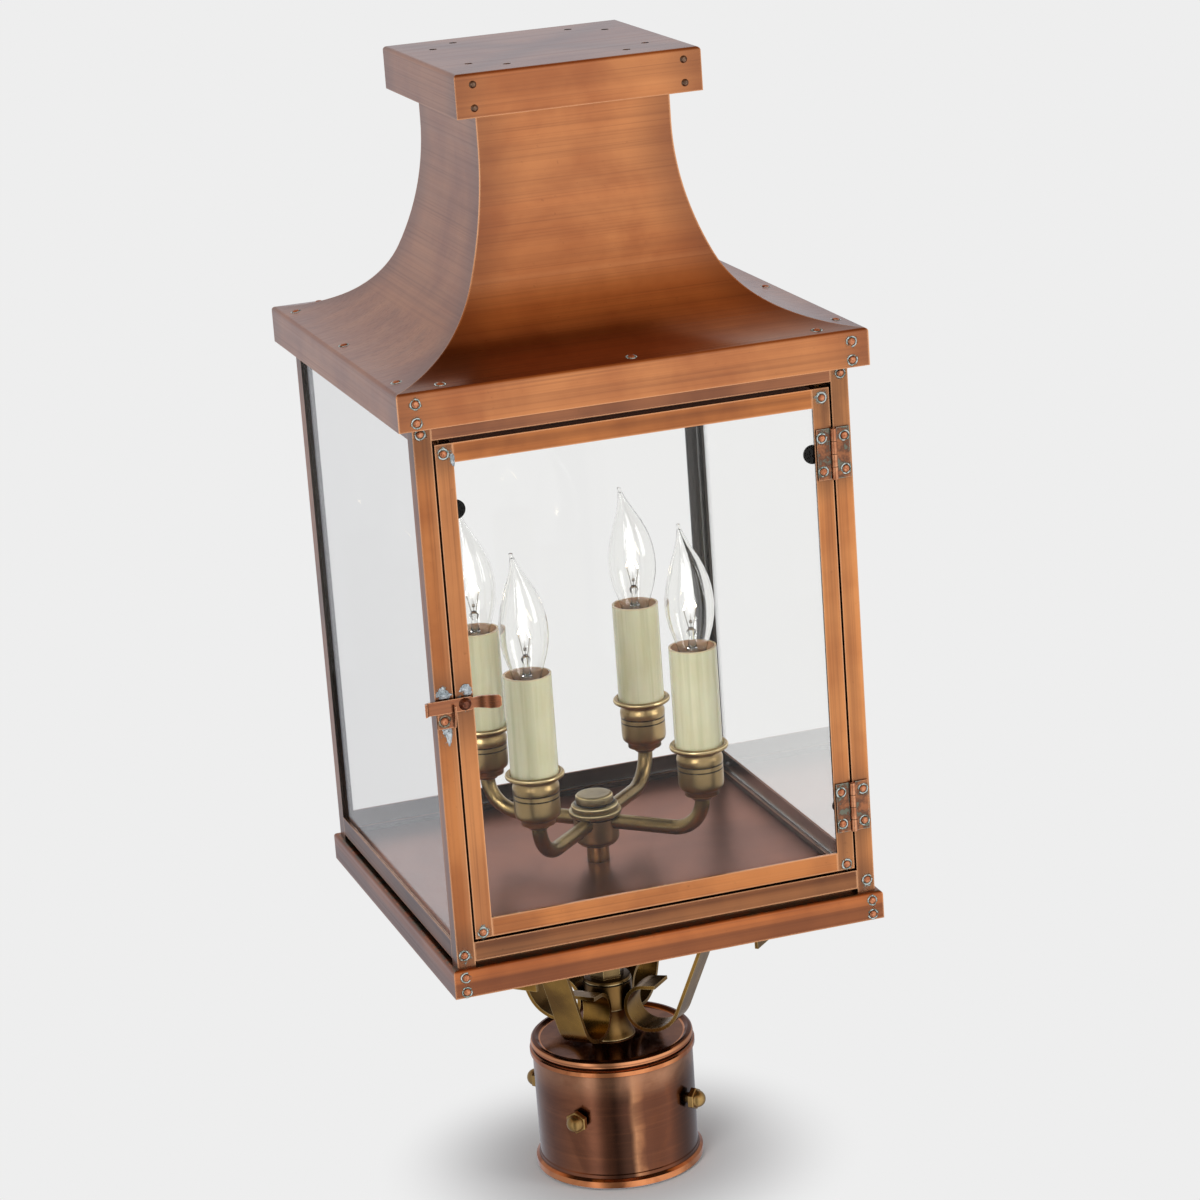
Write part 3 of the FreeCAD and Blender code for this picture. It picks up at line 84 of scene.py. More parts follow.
class Nodes:
    """A material's or the world's node tree, with a short call for each kind of node."""

    def __init__(self, name, store="materials", output="Material", place="Object"):
        self.material = getattr(bpy.data, store).new(name)
        self.material.use_nodes = True
        self.tree = self.material.node_tree
        self.tree.nodes.clear()
        self.output = self.add("ShaderNodeOutput" + output)
        self.place = self.add("ShaderNodeTexCoord").outputs[place]
        self.colour = None

    def add(self, kind, values=None, **settings):
        """Node fed by key. A colour of three numbers is in screen values, and one of four is linear."""
        node = self.tree.nodes.new(kind)
        for key, value in settings.items():
            setattr(node, key, value)
        for key, value in (values or {}).items():
            socket = node.inputs[key]
            if isinstance(value, bpy.types.NodeSocket):
                self.tree.links.new(value, socket)
            else:
                screen = socket.type == "RGBA" and len(value) == 3
                socket.default_value = tone(*value) if screen else value
        return node

    # numbers

    def calc(self, operation, first, second=0.0):
        return self.add("ShaderNodeMath", {0: first, 1: second}, operation=operation).outputs[0]

    def vector(self, operation, first, second=(0, 0, 0)):
        return self.add("ShaderNodeVectorMath", {0: first, 1: second}, operation=operation).outputs

    def span(self, value, low, high, out_low=0.0, out_high=1.0):
        """Value mapped from one span to another, smooth at both ends."""
        values = {"Value": value, "From Min": low, "From Max": high, "To Min": out_low, "To Max": out_high}
        return self.add("ShaderNodeMapRange", values, interpolation_type="SMOOTHSTEP").outputs[0]

    def blend(self, share, first, second):
        """Value between two values."""
        return self.add("ShaderNodeMix", {0: share, 2: first, 3: second}, data_type="FLOAT").outputs[0]

    def off(self, value, level):
        """How far a value is from a level, either way."""
        return self.calc("ABSOLUTE", self.calc("SUBTRACT", value, level))

    def ragged(self, value, patch, depth):
        """Value pushed both ways by a noise."""
        return self.calc("ADD", value, self.calc("MULTIPLY", self.calc("SUBTRACT", patch, 0.5), depth))

    # places and masks

    def noise(self, vector, scale, detail=2.0, roughness=0.5, distortion=0.0):
        values = {"Vector": vector, "Scale": scale, "Detail": detail, "Roughness": roughness,
                  "Distortion": distortion}
        return self.add("ShaderNodeTexNoise", values).outputs["Fac"]

    def grain(self, scale, *more):
        """Noise that is the same along every axis."""
        return self.noise(self.place, scale, *more)

    def drawn(self, x, y, z, detail=3, roughness=0.6):
        """Noise drawn out along the axes, for marks that run one way."""
        stretched = self.add("ShaderNodeMapping", {"Vector": self.place, "Scale": (x, y, z)}).outputs[0]
        return self.noise(stretched, 1.0, detail, roughness)

    def apart(self, vector=None):
        """A vector, or the object's coordinates, as three values."""
        return self.add("ShaderNodeSeparateXYZ", {"Vector": vector or self.place}).outputs

    def height(self):
        return self.apart()["Z"]

    def aside(self):
        """The way out from the lantern's axis."""
        return self.vector("MULTIPLY", self.place, (1, 1, 0))[0]

    def distance_from_axis(self):
        return self.vector("LENGTH", self.aside())["Value"]

    def turn_share(self):
        """Share of a turn round the lantern's axis, from the back left."""
        place = self.apart()
        turn = self.calc("ARCTAN2", place["Y"], place["X"])
        return self.calc("ADD", self.calc("DIVIDE", turn, 2 * pi), 0.5)

    def ray(self, kind):
        """Mask that is 1 for one kind of ray."""
        return self.add("ShaderNodeLightPath").outputs["Is %s Ray" % kind]

    def seen(self):
        """Mask that is 1 for rays that show the background as it is."""
        return self.calc("MAXIMUM", self.ray("Camera"), self.ray("Transmission"))

    def kept(self, name):
        """Value stored on the mesh's vertices."""
        return self.add("ShaderNodeAttribute", attribute_name=name).outputs["Fac"]

    def facing_sides(self):
        """Mask that is 1 on faces turned to the lantern's left or right."""
        normal = self.add("ShaderNodeTexCoord").outputs["Normal"]
        return self.span(self.calc("ABSOLUTE", self.apart(normal)["X"]), 0.55, 0.65)

    def facing_in(self):
        """Mask that is 1 on faces turned towards the lantern's axis or straight down."""
        flat = self.add("ShaderNodeNewGeometry").outputs["True Normal"]
        outward = self.vector("DOT_PRODUCT", self.aside(), flat)["Value"]
        towards_axis = self.span(outward, -0.002, -0.012)
        return self.calc("MAXIMUM", towards_axis, self.span(self.apart(flat)["Z"], -0.6, -0.9))

    def edge_wear_and_highlight(self, width, low=0.02, high=0.16):
        """Mask that is 1 along outer edges, where a rounded normal leaves the flat one: for wear and painted
        edge highlights.
        """
        rounded = self.add("ShaderNodeBevel", {"Radius": width}, samples=4).outputs[0]
        flat = self.add("ShaderNodeNewGeometry").outputs["True Normal"]
        together = self.vector("DOT_PRODUCT", rounded, flat)["Value"]
        return self.span(self.calc("SUBTRACT", 1.0, together), low, high)

    def corner_shade_mask(self, distance, low, high, most=1.0):
        """Mask from ambient occlusion that rises to a share deep in corners and gaps, for painted shade."""
        shade = self.add("ShaderNodeAmbientOcclusion", {"Distance": distance}, samples=6).outputs["AO"]
        return self.span(shade, low, high, most, 0.0)

    # colours

    def mix(self, share, first, second, blend="MIX"):
        values = {0: share, 6: first, 7: second}
        return self.add("ShaderNodeMix", values, data_type="RGBA", blend_type=blend).outputs[2]

    def cover(self, mask, over):
        """Lay a colour over the base colour where a mask is 1."""
        self.colour = self.mix(mask, self.colour, over)

    def lay(self, value, low, high, most, over):
        """Lay a colour over the base colour, up to a share, where a value goes from low to high."""
        self.cover(self.span(value, low, high, 0.0, most), over)

    def corner_shade_and_grime(self, distance, most, dark, low=0.3, high=0.9):
        """Darken the base colour deep in corners and gaps found by ambient occlusion: painted shade, laid as
        grime.
        """
        self.cover(self.corner_shade_mask(distance, low, high, most), dark)

    def ramp(self, share, stops):
        """Colour picked along a row of (position, colour) stops."""
        node = self.add("ShaderNodeValToRGB", {"Fac": share})
        row = node.color_ramp.elements
        row[0].position, row[0].color = stops[0]
        row[1].position, row[1].color = stops[-1]
        for position, colour in stops[1:-1]:
            row.new(position).color = colour
        return node.outputs["Color"]

    # shaders

    def principled(self, rough, bump=None, **values):
        """Principled shader; bump is (height, strength, depth in millimetres) and _ stands for a space."""
        values = {key.replace("_", " "): value for key, value in values.items()}
        values.update({"Base Color": self.colour, "Roughness": rough})
        if bump:
            relief = {"Height": bump[0], "Strength": bump[1], "Distance": bump[2] * MM}
            values["Normal"] = self.add("ShaderNodeBump", relief).outputs[0]
        return self.add("ShaderNodeBsdfPrincipled", values).outputs[0]

    def plain(self, rough, bump=None, **values):
        """Material of one principled shader."""
        return self.show(self.principled(rough, bump, **values))

    def metal(self, rough, coat=0.0, coat_rough=0.03, metallic=1.0, bump=None):
        """Material of metal under a coat of lacquer."""
        return self.plain(rough, bump, Metallic=metallic, Coat_Weight=coat, Coat_Roughness=coat_rough)

    def clear(self, colour=(1, 1, 1, 1)):
        return self.add("ShaderNodeBsdfTransparent", {"Color": colour}).outputs[0]

    def glow(self, colour, strength=1.0):
        return self.add("ShaderNodeEmission", {"Color": colour, "Strength": strength}).outputs[0]

    def either(self, share, first, second):
        """Shader that goes from the first to the second."""
        return self.add("ShaderNodeMixShader", {0: share, 1: first, 2: second}).outputs[0]

    def show(self, shader):
        self.tree.links.new(shader, self.output.inputs["Surface"])
        return self.material


# ---- materials ----

# brushing directions as noise stretch along x, y and z: long along the stroke, fine across it
ALONG_WIDTH = (5, 700, 900)
ALONG_DEPTH = (700, 5, 900)
ALONG_HEIGHT = (700, 700, 6)
ROUND_THE_WALL = (14, 14, 900)
# fine, broad and wide marks: (share of the stretch, detail, roughness) of each noise
MARKS = ((1, 3, 0.6), (0.2, 3, 0.55), (0.07, 2, 0.5))

COPPER_LIGHT = (218, 139, 79)
COPPER_MID = (186, 106, 53)
COPPER_DEEP = (118, 59, 26)
COPPER_PALE = (242, 172, 114)
COPPER_WEAR_AND_HIGHLIGHT = (255, 190, 140)
INSIDE_SHADE = (62, 54, 48)
VERDIGRIS = (88, 108, 92)
VERDIGRIS_PALE = (176, 196, 186)
NEAR_BLACK = (30, 24, 20)
PATINA_AND_SHADE_BROWN = (74, 42, 26)
KNUCKLE_BACK_Y = -117.2 * MM
KNUCKLE_FRONT_Y = -117.5 * MM


def streaks(n, stroke):
    """Fine, broad and wide brushing marks along a stroke."""
    return [n.drawn(*[value * share for value in stroke], detail, rough) for share, detail, rough in MARKS]


def brushed_copper(name, light=COPPER_LIGHT, mid=COPPER_MID, deep=COPPER_DEEP, stroke=ALONG_WIDTH,
                   roughness=0.3, inside=True, seam_z=None, coat=1.0, edge_mm=1.2, corner=False,
                   corner_shade_mm=7, bold=1.0, joints=(), shade_below=None, pale=0.15):
    """Lacquered brushed copper: streaks along the stroke, soft clouds, bright edges of wear and painted
    highlight, and painted shade in corners, on faces turned inwards and below a given height.
    """
    n = Nodes(name)
    marks = streaks(n, stroke)
    if stroke == ALONG_WIDTH:
        sides = n.facing_sides()
        marks = [n.blend(sides, a, b) for a, b in zip(marks, streaks(n, ALONG_DEPTH))]
    fine, broad, wide = marks
    cloud = n.grain(17, 4, 0.55, 0.2)
    n.colour = n.mix(n.span(cloud, 0.32, 0.68), light, mid)
    n.lay(wide, 0.48, 0.68, 0.55 * bold, deep)
    n.lay(wide, 0.48, 0.32, pale, COPPER_PALE)
    n.lay(broad, 0.46, 0.7, 0.42 * bold, deep)
    n.lay(fine, 0.45, 0.8, 0.3, deep)
    n.lay(n.grain(260, 2, 0.7), 0.66, 0.8, 0.25, deep)
    if corner:
        place = n.apart()
        aside = n.off(n.calc("ABSOLUTE", place["X"]), n.calc("ABSOLUTE", place["Y"]))
        near = n.calc("ADD", aside, n.calc("MULTIPLY", cloud, 16 * MM))
        n.lay(near, 34 * MM, 6 * MM, 0.5, deep)
    for level in joints:
        near = n.ragged(n.off(n.height(), level), cloud, 44 * MM)
        n.lay(near, 30 * MM, 3 * MM, 0.6, PATINA_AND_SHADE_BROWN)
    # painted shade: darker below a given height
    if shade_below is not None:
        n.lay(n.height(), shade_below, shade_below - 6 * MM, 0.6, deep)
    # bright edges: partly wear, partly painted highlight
    worn = n.calc("MULTIPLY", n.edge_wear_and_highlight(edge_mm * MM), n.span(cloud, 0.2, 0.6, 0.405, 0.9))
    n.cover(worn, COPPER_WEAR_AND_HIGHLIGHT)
    # painted shade in corners and gaps, in near-black and patina brown
    corner_shade_colour = n.mix(n.span(cloud, 0.3, 0.6), NEAR_BLACK, PATINA_AND_SHADE_BROWN)
    n.corner_shade_and_grime(corner_shade_mm * MM, 0.85, corner_shade_colour)
    if seam_z is not None:
        seam = n.span(n.off(n.height(), seam_z), 1.3 * MM, 0.3 * MM)
        patches = n.span(n.grain(160, 3, 0.7), 0.4, 0.6, 0.0, 0.8)
        n.cover(n.calc("MULTIPLY", seam, patches), VERDIGRIS)
    # painted shade on faces turned towards the axis or down
    if inside:
        n.cover(n.facing_in(), n.mix(cloud, INSIDE_SHADE, NEAR_BLACK))
    rough = n.calc("ADD", n.span(fine, 0.2, 0.8, roughness - 0.06, roughness + 0.06),
                   n.calc("MULTIPLY", cloud, 0.06))
    return n.metal(rough, coat, 0.2, bump=(fine, 0.2, 0.02))


def hinge_copper(name):
    """Hinge leaves: brown plates with green and pale edges of verdigris, wear and painted highlight,
    knuckles painted bright as a highlight, and painted shade in corners.
    """
    n = Nodes(name)
    fine = n.drawn(*ALONG_HEIGHT)
    patch = n.grain(190, 3, 0.65)
    n.colour = n.mix(n.span(patch, 0.36, 0.6), (176, 112, 74), (110, 74, 56))
    n.lay(fine, 0.45, 0.8, 0.35, (90, 56, 40))
    n.lay(patch, 0.56, 0.64, 0.7, (120, 132, 118))
    # edges: pale verdigris and wear, partly painted highlight
    rubbed = n.mix(n.span(patch, 0.4, 0.55), COPPER_WEAR_AND_HIGHLIGHT, VERDIGRIS_PALE)
    n.cover(n.calc("MULTIPLY", n.edge_wear_and_highlight(0.8 * MM), 0.75), rubbed)
    # painted highlight: the knuckles painted bright
    bright = n.mix(n.span(patch, 0.3, 0.7), (246, 176, 132), (206, 132, 92))
    n.lay(n.apart()["Y"], KNUCKLE_BACK_Y, KNUCKLE_FRONT_Y, 1.0, bright)
    n.corner_shade_and_grime(1.6 * MM, 0.85, NEAR_BLACK, 0.3, 0.85)
    return n.metal(n.span(fine, 0.2, 0.8, 0.26, 0.4), 0.5, 0.25, bump=(patch, 0.15, 0.1))


# painted reflections: the collar wall's base colour in light and dark bands round the lantern, by share of a
# turn from the back left
COLLAR_PAINTED_REFLECTIONS = (
    (0.0, 124, 80, 60), (0.06, 132, 84, 62), (0.10, 156, 98, 70), (0.15, 140, 86, 60),
    (0.185, 120, 72, 50), (0.195, 80, 46, 30), (0.225, 84, 50, 32), (0.234, 196, 138, 98),
    (0.246, 170, 112, 76), (0.258, 122, 72, 46), (0.31, 128, 72, 44), (0.35, 94, 54, 36),
    (0.40, 92, 56, 40), (0.6, 126, 80, 58), (0.8, 112, 70, 50), (0.94, 86, 56, 42), (1.0, 124, 80, 60),
)
# how far out the wall turns into its rolled beads
BEAD_START = 44.9 * MM
BEAD_FULL = 45.6 * MM


def collar_copper(name):
    """The fitter's wall: brushed round, with painted reflections in broad light and dark bands, patina
    clouds, a lighter top, bright rolled beads of polish and painted highlight, and painted shade in corners.
    """
    n = Nodes(name)
    fine, broad, _ = streaks(n, ROUND_THE_WALL)
    cloud = n.grain(34, 4, 0.6, 0.8)
    # painted reflections: light and dark bands round the wall
    bands = [(share, tone(*screen)) for share, *screen in COLLAR_PAINTED_REFLECTIONS]
    n.colour = n.ramp(n.ragged(n.turn_share(), cloud, 0.02), bands)
    n.lay(cloud, 0.4, 0.62, 0.55, (104, 60, 42))
    n.lay(broad, 0.46, 0.7, 0.35, (96, 56, 38))
    n.lay(fine, 0.5, 0.75, 0.1, (206, 132, 88))
    under_bead = n.calc("MULTIPLY", n.span(n.height(), 50 * MM, 64 * MM), n.span(cloud, 0.3, 0.6, 0.25, 0.7))
    n.cover(under_bead, (206, 150, 116))
    # rolled beads: polished copper painted brighter, partly as a painted highlight
    bead = n.span(n.distance_from_axis(), BEAD_START, BEAD_FULL)
    n.cover(bead, n.mix(n.span(cloud, 0.35, 0.65), (236, 152, 98), (176, 100, 60)))
    n.corner_shade_and_grime(3 * MM, 0.9, (40, 22, 14))
    rough = n.blend(bead, n.span(fine, 0.2, 0.8, 0.18, 0.26), 0.15)
    return n.metal(rough, 0.4, 0.16, bump=(fine, 0.05, 0.02))


def aged_brass(name, stroke=ROUND_THE_WALL, light=(176, 148, 98), dark=(104, 82, 50), roughness=0.26,
               edges=0.9):
    """Antique brass: lightly brushed, with painted shade in grooves and bright ridges of polish and painted
    highlight.
    """
    n = Nodes(name)
    fine = n.drawn(*stroke)
    n.colour = n.mix(n.span(n.grain(34, 3, 0.5, 0.3), 0.3, 0.7), light, dark)
    n.lay(fine, 0.45, 0.8, 0.35, dark)
    n.corner_shade_and_grime(5 * MM, 0.9, (34, 26, 18), 0.25)
    # bright edges: polish and painted highlight
    if edges:
        n.cover(n.calc("MULTIPLY", n.edge_wear_and_highlight(0.7 * MM), edges), (232, 206, 150))
    rough = n.span(fine, 0.2, 0.8, roughness - 0.04, roughness + 0.05)
    return n.metal(rough, 0.3, 0.2, bump=(fine, 0.04, 0.02))


def turned_brass(name, grooves, rims, light=(186, 158, 110), dark=(146, 122, 80), roughness=0.32):
    """Turned brass of the cups, hub and its cap: painted shade in the cut grooves and painted highlights on
    the rims.
    """
    n = Nodes(name)
    fine = n.drawn(900, 900, 300)
    flow = n.drawn(50, 50, 20, 3, 0.5)
    n.colour = n.mix(n.span(flow, 0.32, 0.68), light, dark)
    # painted shade in the grooves
    for level in grooves:
        n.lay(n.off(n.height(), level), 0.55 * MM, 0.25 * MM, 0.95, (22, 16, 10))
    # painted highlights on the rims
    for level in rims:
        n.lay(n.off(n.height(), level), 0.42 * MM, 0.15 * MM, 0.75, (240, 218, 166))
    rough = n.span(fine, 0.2, 0.8, roughness - 0.03, roughness + 0.04)
    return n.metal(rough, 0.2, 0.25, bump=(flow, 0.2, 0.02))


def rivet_copper(name, light=(240, 166, 124), dark=(186, 108, 72)):
    """Tumbled copper of the rivet heads, mottled light and dark, with painted shade at the foot."""
    n = Nodes(name)
    mottle = n.grain(700, 3, 0.6)
    n.colour = n.mix(n.span(mottle, 0.35, 0.7), light, dark)
    n.corner_shade_and_grime(0.8 * MM, 0.9, NEAR_BLACK)
    return n.metal(n.span(mottle, 0.3, 0.7, 0.34, 0.5), 0.15, bump=(mottle, 0.2, 0.05))


def show_film(n, alpha, fine, rough, metallic):
    """Rough film that covers only where alpha is 1."""
    shader = n.principled(n.span(fine, 0.3, 0.7, rough, 0.6), (fine, 0.3, 0.1), Metallic=metallic)
    return n.show(n.either(alpha, n.clear(), shader))


def patina_ring(name, pale=(206, 216, 214), green=(112, 134, 124)):
    """Corrosion round a rivet: a dark ring of painted shade in the gap at the head, a broken pale ring, and
    a stain that fades out.
    """
    n = Nodes(name)
    share = n.kept("reach")
    patch = n.grain(420, 3, 0.65)
    fine = n.grain(1800, 3, 0.6)
    n.colour = n.mix(n.span(patch, 0.42, 0.58), pale, green)
    n.lay(patch, 0.57, 0.66, 0.8, (112, 76, 52))
    n.lay(fine, 0.5, 0.75, 0.4, (104, 88, 72))
    outside = n.span(share, 1.4, 1.48)
    halo = n.mix(n.span(fine, 0.4, 0.6), (92, 66, 46), (116, 116, 98))
    n.cover(outside, halo)
    # painted shade: a dark ring at the head's foot
    n.lay(share, 1.15, 1.08, 1.0, (52, 34, 24))
    broken = n.span(n.ragged(share, patch, 3.4), 1.8, 1.2)
    faded = n.calc("MULTIPLY", broken, n.span(share, 2.05, 1.45, 0.0, 0.6))
    alpha = n.blend(outside, n.span(patch, 0.64, 0.54), faded)
    return show_film(n, alpha, fine, 0.4, 0.2)


def stain(name):
    """Grey-green bloom left on the copper by flux and weather, thick in the middle and broken outside."""
    n = Nodes(name)
    reach = n.kept("reach")
    patch = n.grain(330, 4, 0.7)
    fine = n.grain(1500, 3, 0.6)
    n.colour = n.mix(n.span(fine, 0.38, 0.62), (176, 190, 186), (92, 96, 80))
    n.lay(patch, 0.5, 0.6, 0.5, (84, 62, 44))
    broken = n.span(n.ragged(reach, patch, 5.0), 0.5, 0.15)
    alpha = n.calc("MULTIPLY", broken, n.span(reach, 0.98, 0.5, 0.0, 0.7))
    return show_film(n, alpha, fine, 0.45, 0.1)


def solder(name):
    """Dull tin-lead solder with blue and green stains."""
    n = Nodes(name)
    patch = n.grain(380, 3, 0.6)
    fine = n.grain(1400, 3, 0.6)
    n.colour = n.mix(n.span(patch, 0.35, 0.65), (214, 220, 224), (150, 160, 166))
    n.lay(fine, 0.52, 0.68, 0.8, (66, 66, 62))
    return n.metal(n.span(fine, 0.3, 0.7, 0.3, 0.55), metallic=0.25,
                   bump=(n.calc("ADD", patch, fine), 0.6, 0.2))


# painted highlights round the cap's rim: (radius, half width) in millimetres
CAP_PAINTED_HIGHLIGHTS = ((40.5, 0.7), (45.1, 0.5))


def polished_cap(name):
    """Dark polished copper of the fitter's dished cap, darker on its rolled rim, with painted highlights in
    thin lines round the rim.
    """
    n = Nodes(name)
    swirl = n.drawn(300, 300, 20, 2, 0.5)
    n.colour = n.mix(n.span(n.grain(45, 3, 0.6), 0.35, 0.65), (152, 98, 68), (112, 66, 46))
    outward = n.distance_from_axis()
    n.lay(outward, 40.2 * MM, 41.2 * MM, 1.0, (112, 64, 42))
    for radius, half_width in CAP_PAINTED_HIGHLIGHTS:
        off = n.off(outward, radius * MM)
        n.lay(off, half_width * MM, 0.4 * half_width * MM, 1.0, (240, 164, 116))
    return n.metal(n.span(swirl, 0.3, 0.7, 0.12, 0.2), 0.1, 0.1)


def floor_copper(name):
    """Smooth darkened copper of the floor plate, with painted shade in corners."""
    n = Nodes(name)
    fine = n.drawn(5, 500, 500)
    n.colour = n.mix(n.span(n.grain(14, 3, 0.6, 0.4), 0.3, 0.7), (150, 92, 70), (128, 76, 58))
    n.lay(fine, 0.45, 0.75, 0.06, (92, 56, 44))
    n.corner_shade_and_grime(4 * MM, 0.8, (34, 32, 28))
    return n.metal(n.span(fine, 0.2, 0.8, 0.28, 0.31))


def clear_glass(n, blue, rough, ior, bump, share):
    """Glass whose shadow rays pass straight through."""
    n.colour = (0.99, 0.99, blue, 1.0)
    glass = n.principled(rough, bump, IOR=ior, Transmission_Weight=1.0)
    return n.show(n.either(n.ray("Shadow"), glass, n.clear((share, share, share, 1.0))))


def clear_pane(name, ior=1.5):
    """Clear float glass that lets lamp light through, with a faint ripple and a few dust specks."""
    n = Nodes(name)
    dust = n.span(n.grain(700, 2, 0.6), 0.74, 0.8, 0.0, 0.08)
    return clear_glass(n, 0.985, dust, ior, (n.grain(9, 1, 0.4), 0.25, 0.6), 0.94)


def lamp_envelope_glass(name):
    """Thin clear blown glass of the lamps."""
    n = Nodes(name)
    return clear_glass(n, 0.98, 0.0, 1.48, (n.grain(70, 2, 0.5), 0.3, 0.4), 0.95)


def candle_ivory(name):
    """Glossy ivory plastic candle sleeve with faint mould flow, a browned rim and painted shade inside the
    mouth.
    """
    n = Nodes(name)
    flow = n.drawn(120, 120, 9)
    band = n.drawn(260, 260, 4, 2, 0.5)
    n.colour = n.mix(n.span(flow, 0.3, 0.7), (206, 202, 168), (190, 184, 146))
    n.lay(n.grain(40, 2, 0.5), 0.4, 0.7, 0.3, (216, 214, 186))
    n.lay(band, 0.46, 0.62, 0.45, (170, 168, 132))
    n.lay(n.height(), SLEEVE_TOP_Z - 0.8 * MM, SLEEVE_TOP_Z, 0.5, (206, 168, 118))
    # painted shade: tan inside the mouth, where ambient occlusion finds it
    near_mouth = n.span(n.height(), SLEEVE_TOP_Z - 9 * MM, SLEEVE_TOP_Z - 8 * MM)
    inside = n.calc("MULTIPLY", n.corner_shade_mask(7 * MM, 0.35, 0.75), near_mouth)
    n.cover(inside, (184, 134, 98))
    return n.plain(n.span(flow, 0.3, 0.7, 0.16, 0.26), IOR=1.5, Subsurface_Weight=0.12,
                   Subsurface_Scale=2 * MM, Coat_Weight=0.3, Coat_Roughness=0.08)


def dark_plastic(name):
    """Moulded black plastic with a fine grain."""
    n = Nodes(name)
    grain = n.grain(1500, 2, 0.6)
    n.colour = n.mix(grain, (30, 28, 28), (52, 48, 46))
    return n.plain(n.span(grain, 0.3, 0.7, 0.45, 0.6), (grain, 0.2, 0.05))


def bright_cap_brass(name):
    """Stamped brass of the lamp caps."""
    n = Nodes(name)
    band = n.drawn(8, 8, 500, 2, 0.6)
    n.colour = n.mix(n.span(band, 0.3, 0.7), (252, 190, 150), (170, 104, 72))
    return n.metal(n.span(band, 0.3, 0.7, 0.2, 0.4), bump=(band, 0.4, 0.2))


def wire_nickel(name):
    """Fine nickel wire of the lamp leads."""
    n = Nodes(name)
    grain = n.grain(1200, 2, 0.6)
    n.colour = n.mix(grain, (120, 112, 104), (176, 168, 158))
    return n.metal(n.span(grain, 0.3, 0.7, 0.25, 0.4))


def glowing(name, colour, strength):
    """Incandescent surface, uneven like a hot coil."""
    n = Nodes(name)
    n.colour = n.mix(n.grain(800, 2, 0.6), colour, (1.0, 0.9, 0.75, 1.0))
    return n.plain(0.5, Emission_Color=colour, Emission_Strength=strength)


def glow_shell(name, share):
    """Part of the soft white bloom round a lit filament: mostly clear, a little bright."""
    n = Nodes(name)
    warmth = n.mix(n.grain(60, 2, 0.5), (1, 1, 1, 1), (1, 0.985, 0.95, 1))
    return n.show(n.either(share, n.clear(), n.glow(warmth, 1.25)))


# ---- mesh helpers ----

SMALLEST_RADIUS = 1e-7


def link(name, data):
    """Object of some data, put in the scene."""
    thing = bpy.data.objects.new(name, data)
    bpy.context.scene.collection.objects.link(thing)
    return thing


def mesh_from(name, builder):
    """Mesh made from a bmesh, which is freed."""
    mesh = bpy.data.meshes.new(name)
    builder.to_mesh(mesh)
    builder.free()
    return mesh


def new_piece(name, builder, material, body, stands_for=None):
    """Smooth piece that rides on a body, with the given material, and may replace a node."""
    piece = link(name, mesh_from(name, builder))
    piece.data.materials.append(material)
    piece.data.shade_smooth()
    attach(piece, body)
    if stands_for:
        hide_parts(stands_for)
    return piece


def new_film(name, builder, material, body):
    """Stain lying on a sheet: too thin to shade what is under it."""
    film = new_piece(name, builder, material, body)
    film.visible_shadow = False


def up(height):
    return Vector((0, 0, height))


def spoke(angle):
    """Level unit vector at an angle round the vertical."""
    return Vector((cos(angle), sin(angle), 0))


def round_turn(count):
    """Angles of a full turn in even steps."""
    return [2 * pi * k / count for k in range(count)]


def in_mm(rows):
    return [(radius * MM, height * MM) for radius, height in rows]


def facing(direction, place):
    """Matrix that stands a lathe's axis along a direction at a place."""
    turn = direction.to_track_quat("Z", "Y").to_matrix().to_4x4()
    return Matrix.Translation(place) @ turn


def skin(builder, rings):
    """Add faces between rings of vertices, where a ring of one vertex is a tip."""
    for low, high in zip(rings, rings[1:]):
        count = max(len(low), len(high))
        for k in range(count):
            after = (k + 1) % count
            corners = [ring[i % len(ring)] for ring, i in ((low, k), (low, after), (high, after), (high, k))]
            distinct = list(dict.fromkeys(corners))
            if len(distinct) > 2:
                builder.faces.new(distinct)


def lathe_into(builder, profile, segments, placing):
    """Add a surface of revolution of (radius, height) rows, placed by a matrix."""
    rings = []
    for radius, height in profile:
        turns = round_turn(segments) if radius > SMALLEST_RADIUS else [0]
        rings.append([builder.verts.new(placing @ (spoke(turn) * radius + up(height))) for turn in turns])
    skin(builder, rings)


def separate_solids(node):
    """Vertex places of each separate solid of a node, in the order of their lowest vertex."""
    builder = bmesh.new()
    builder.from_mesh(frame["nodes"][node].data)
    bmesh.ops.remove_doubles(builder, verts=builder.verts, dist=1e-6)
    left = set(builder.verts)
    solids = []
    while left:
        queue = [min(left, key=lambda v: v.index)]
        left.discard(queue[0])
        places = []
        while queue:
            vert = queue.pop()
            places.append(vert.co.copy())
            reached = [edge.other_vert(vert) for edge in vert.link_edges if edge.other_vert(vert) in left]
            left.difference_update(reached)
            queue += reached
        solids.append(places)
    builder.free()
    return solids


# ---- rivets ----

RIVET_SEGMENTS = 24
RING_SEGMENTS = 36
HEAD_ROWS = 7
HEAD_FOOT_SHARE = 0.95
HAMMER_DEPTH = 0.12 * MM
FIRST_GUESS = Vector((0.31, 0.53, 0.79))
# patina collars as (share of the head's radius, lift off the sheet in millimetres)
RING_ROWS = ((0.9, 0.03), (1.08, 0.03), (1.16, 0.15), (1.27, 0.18), (1.4, 0.12), (1.46, 0.03), (2.1, 0.02))


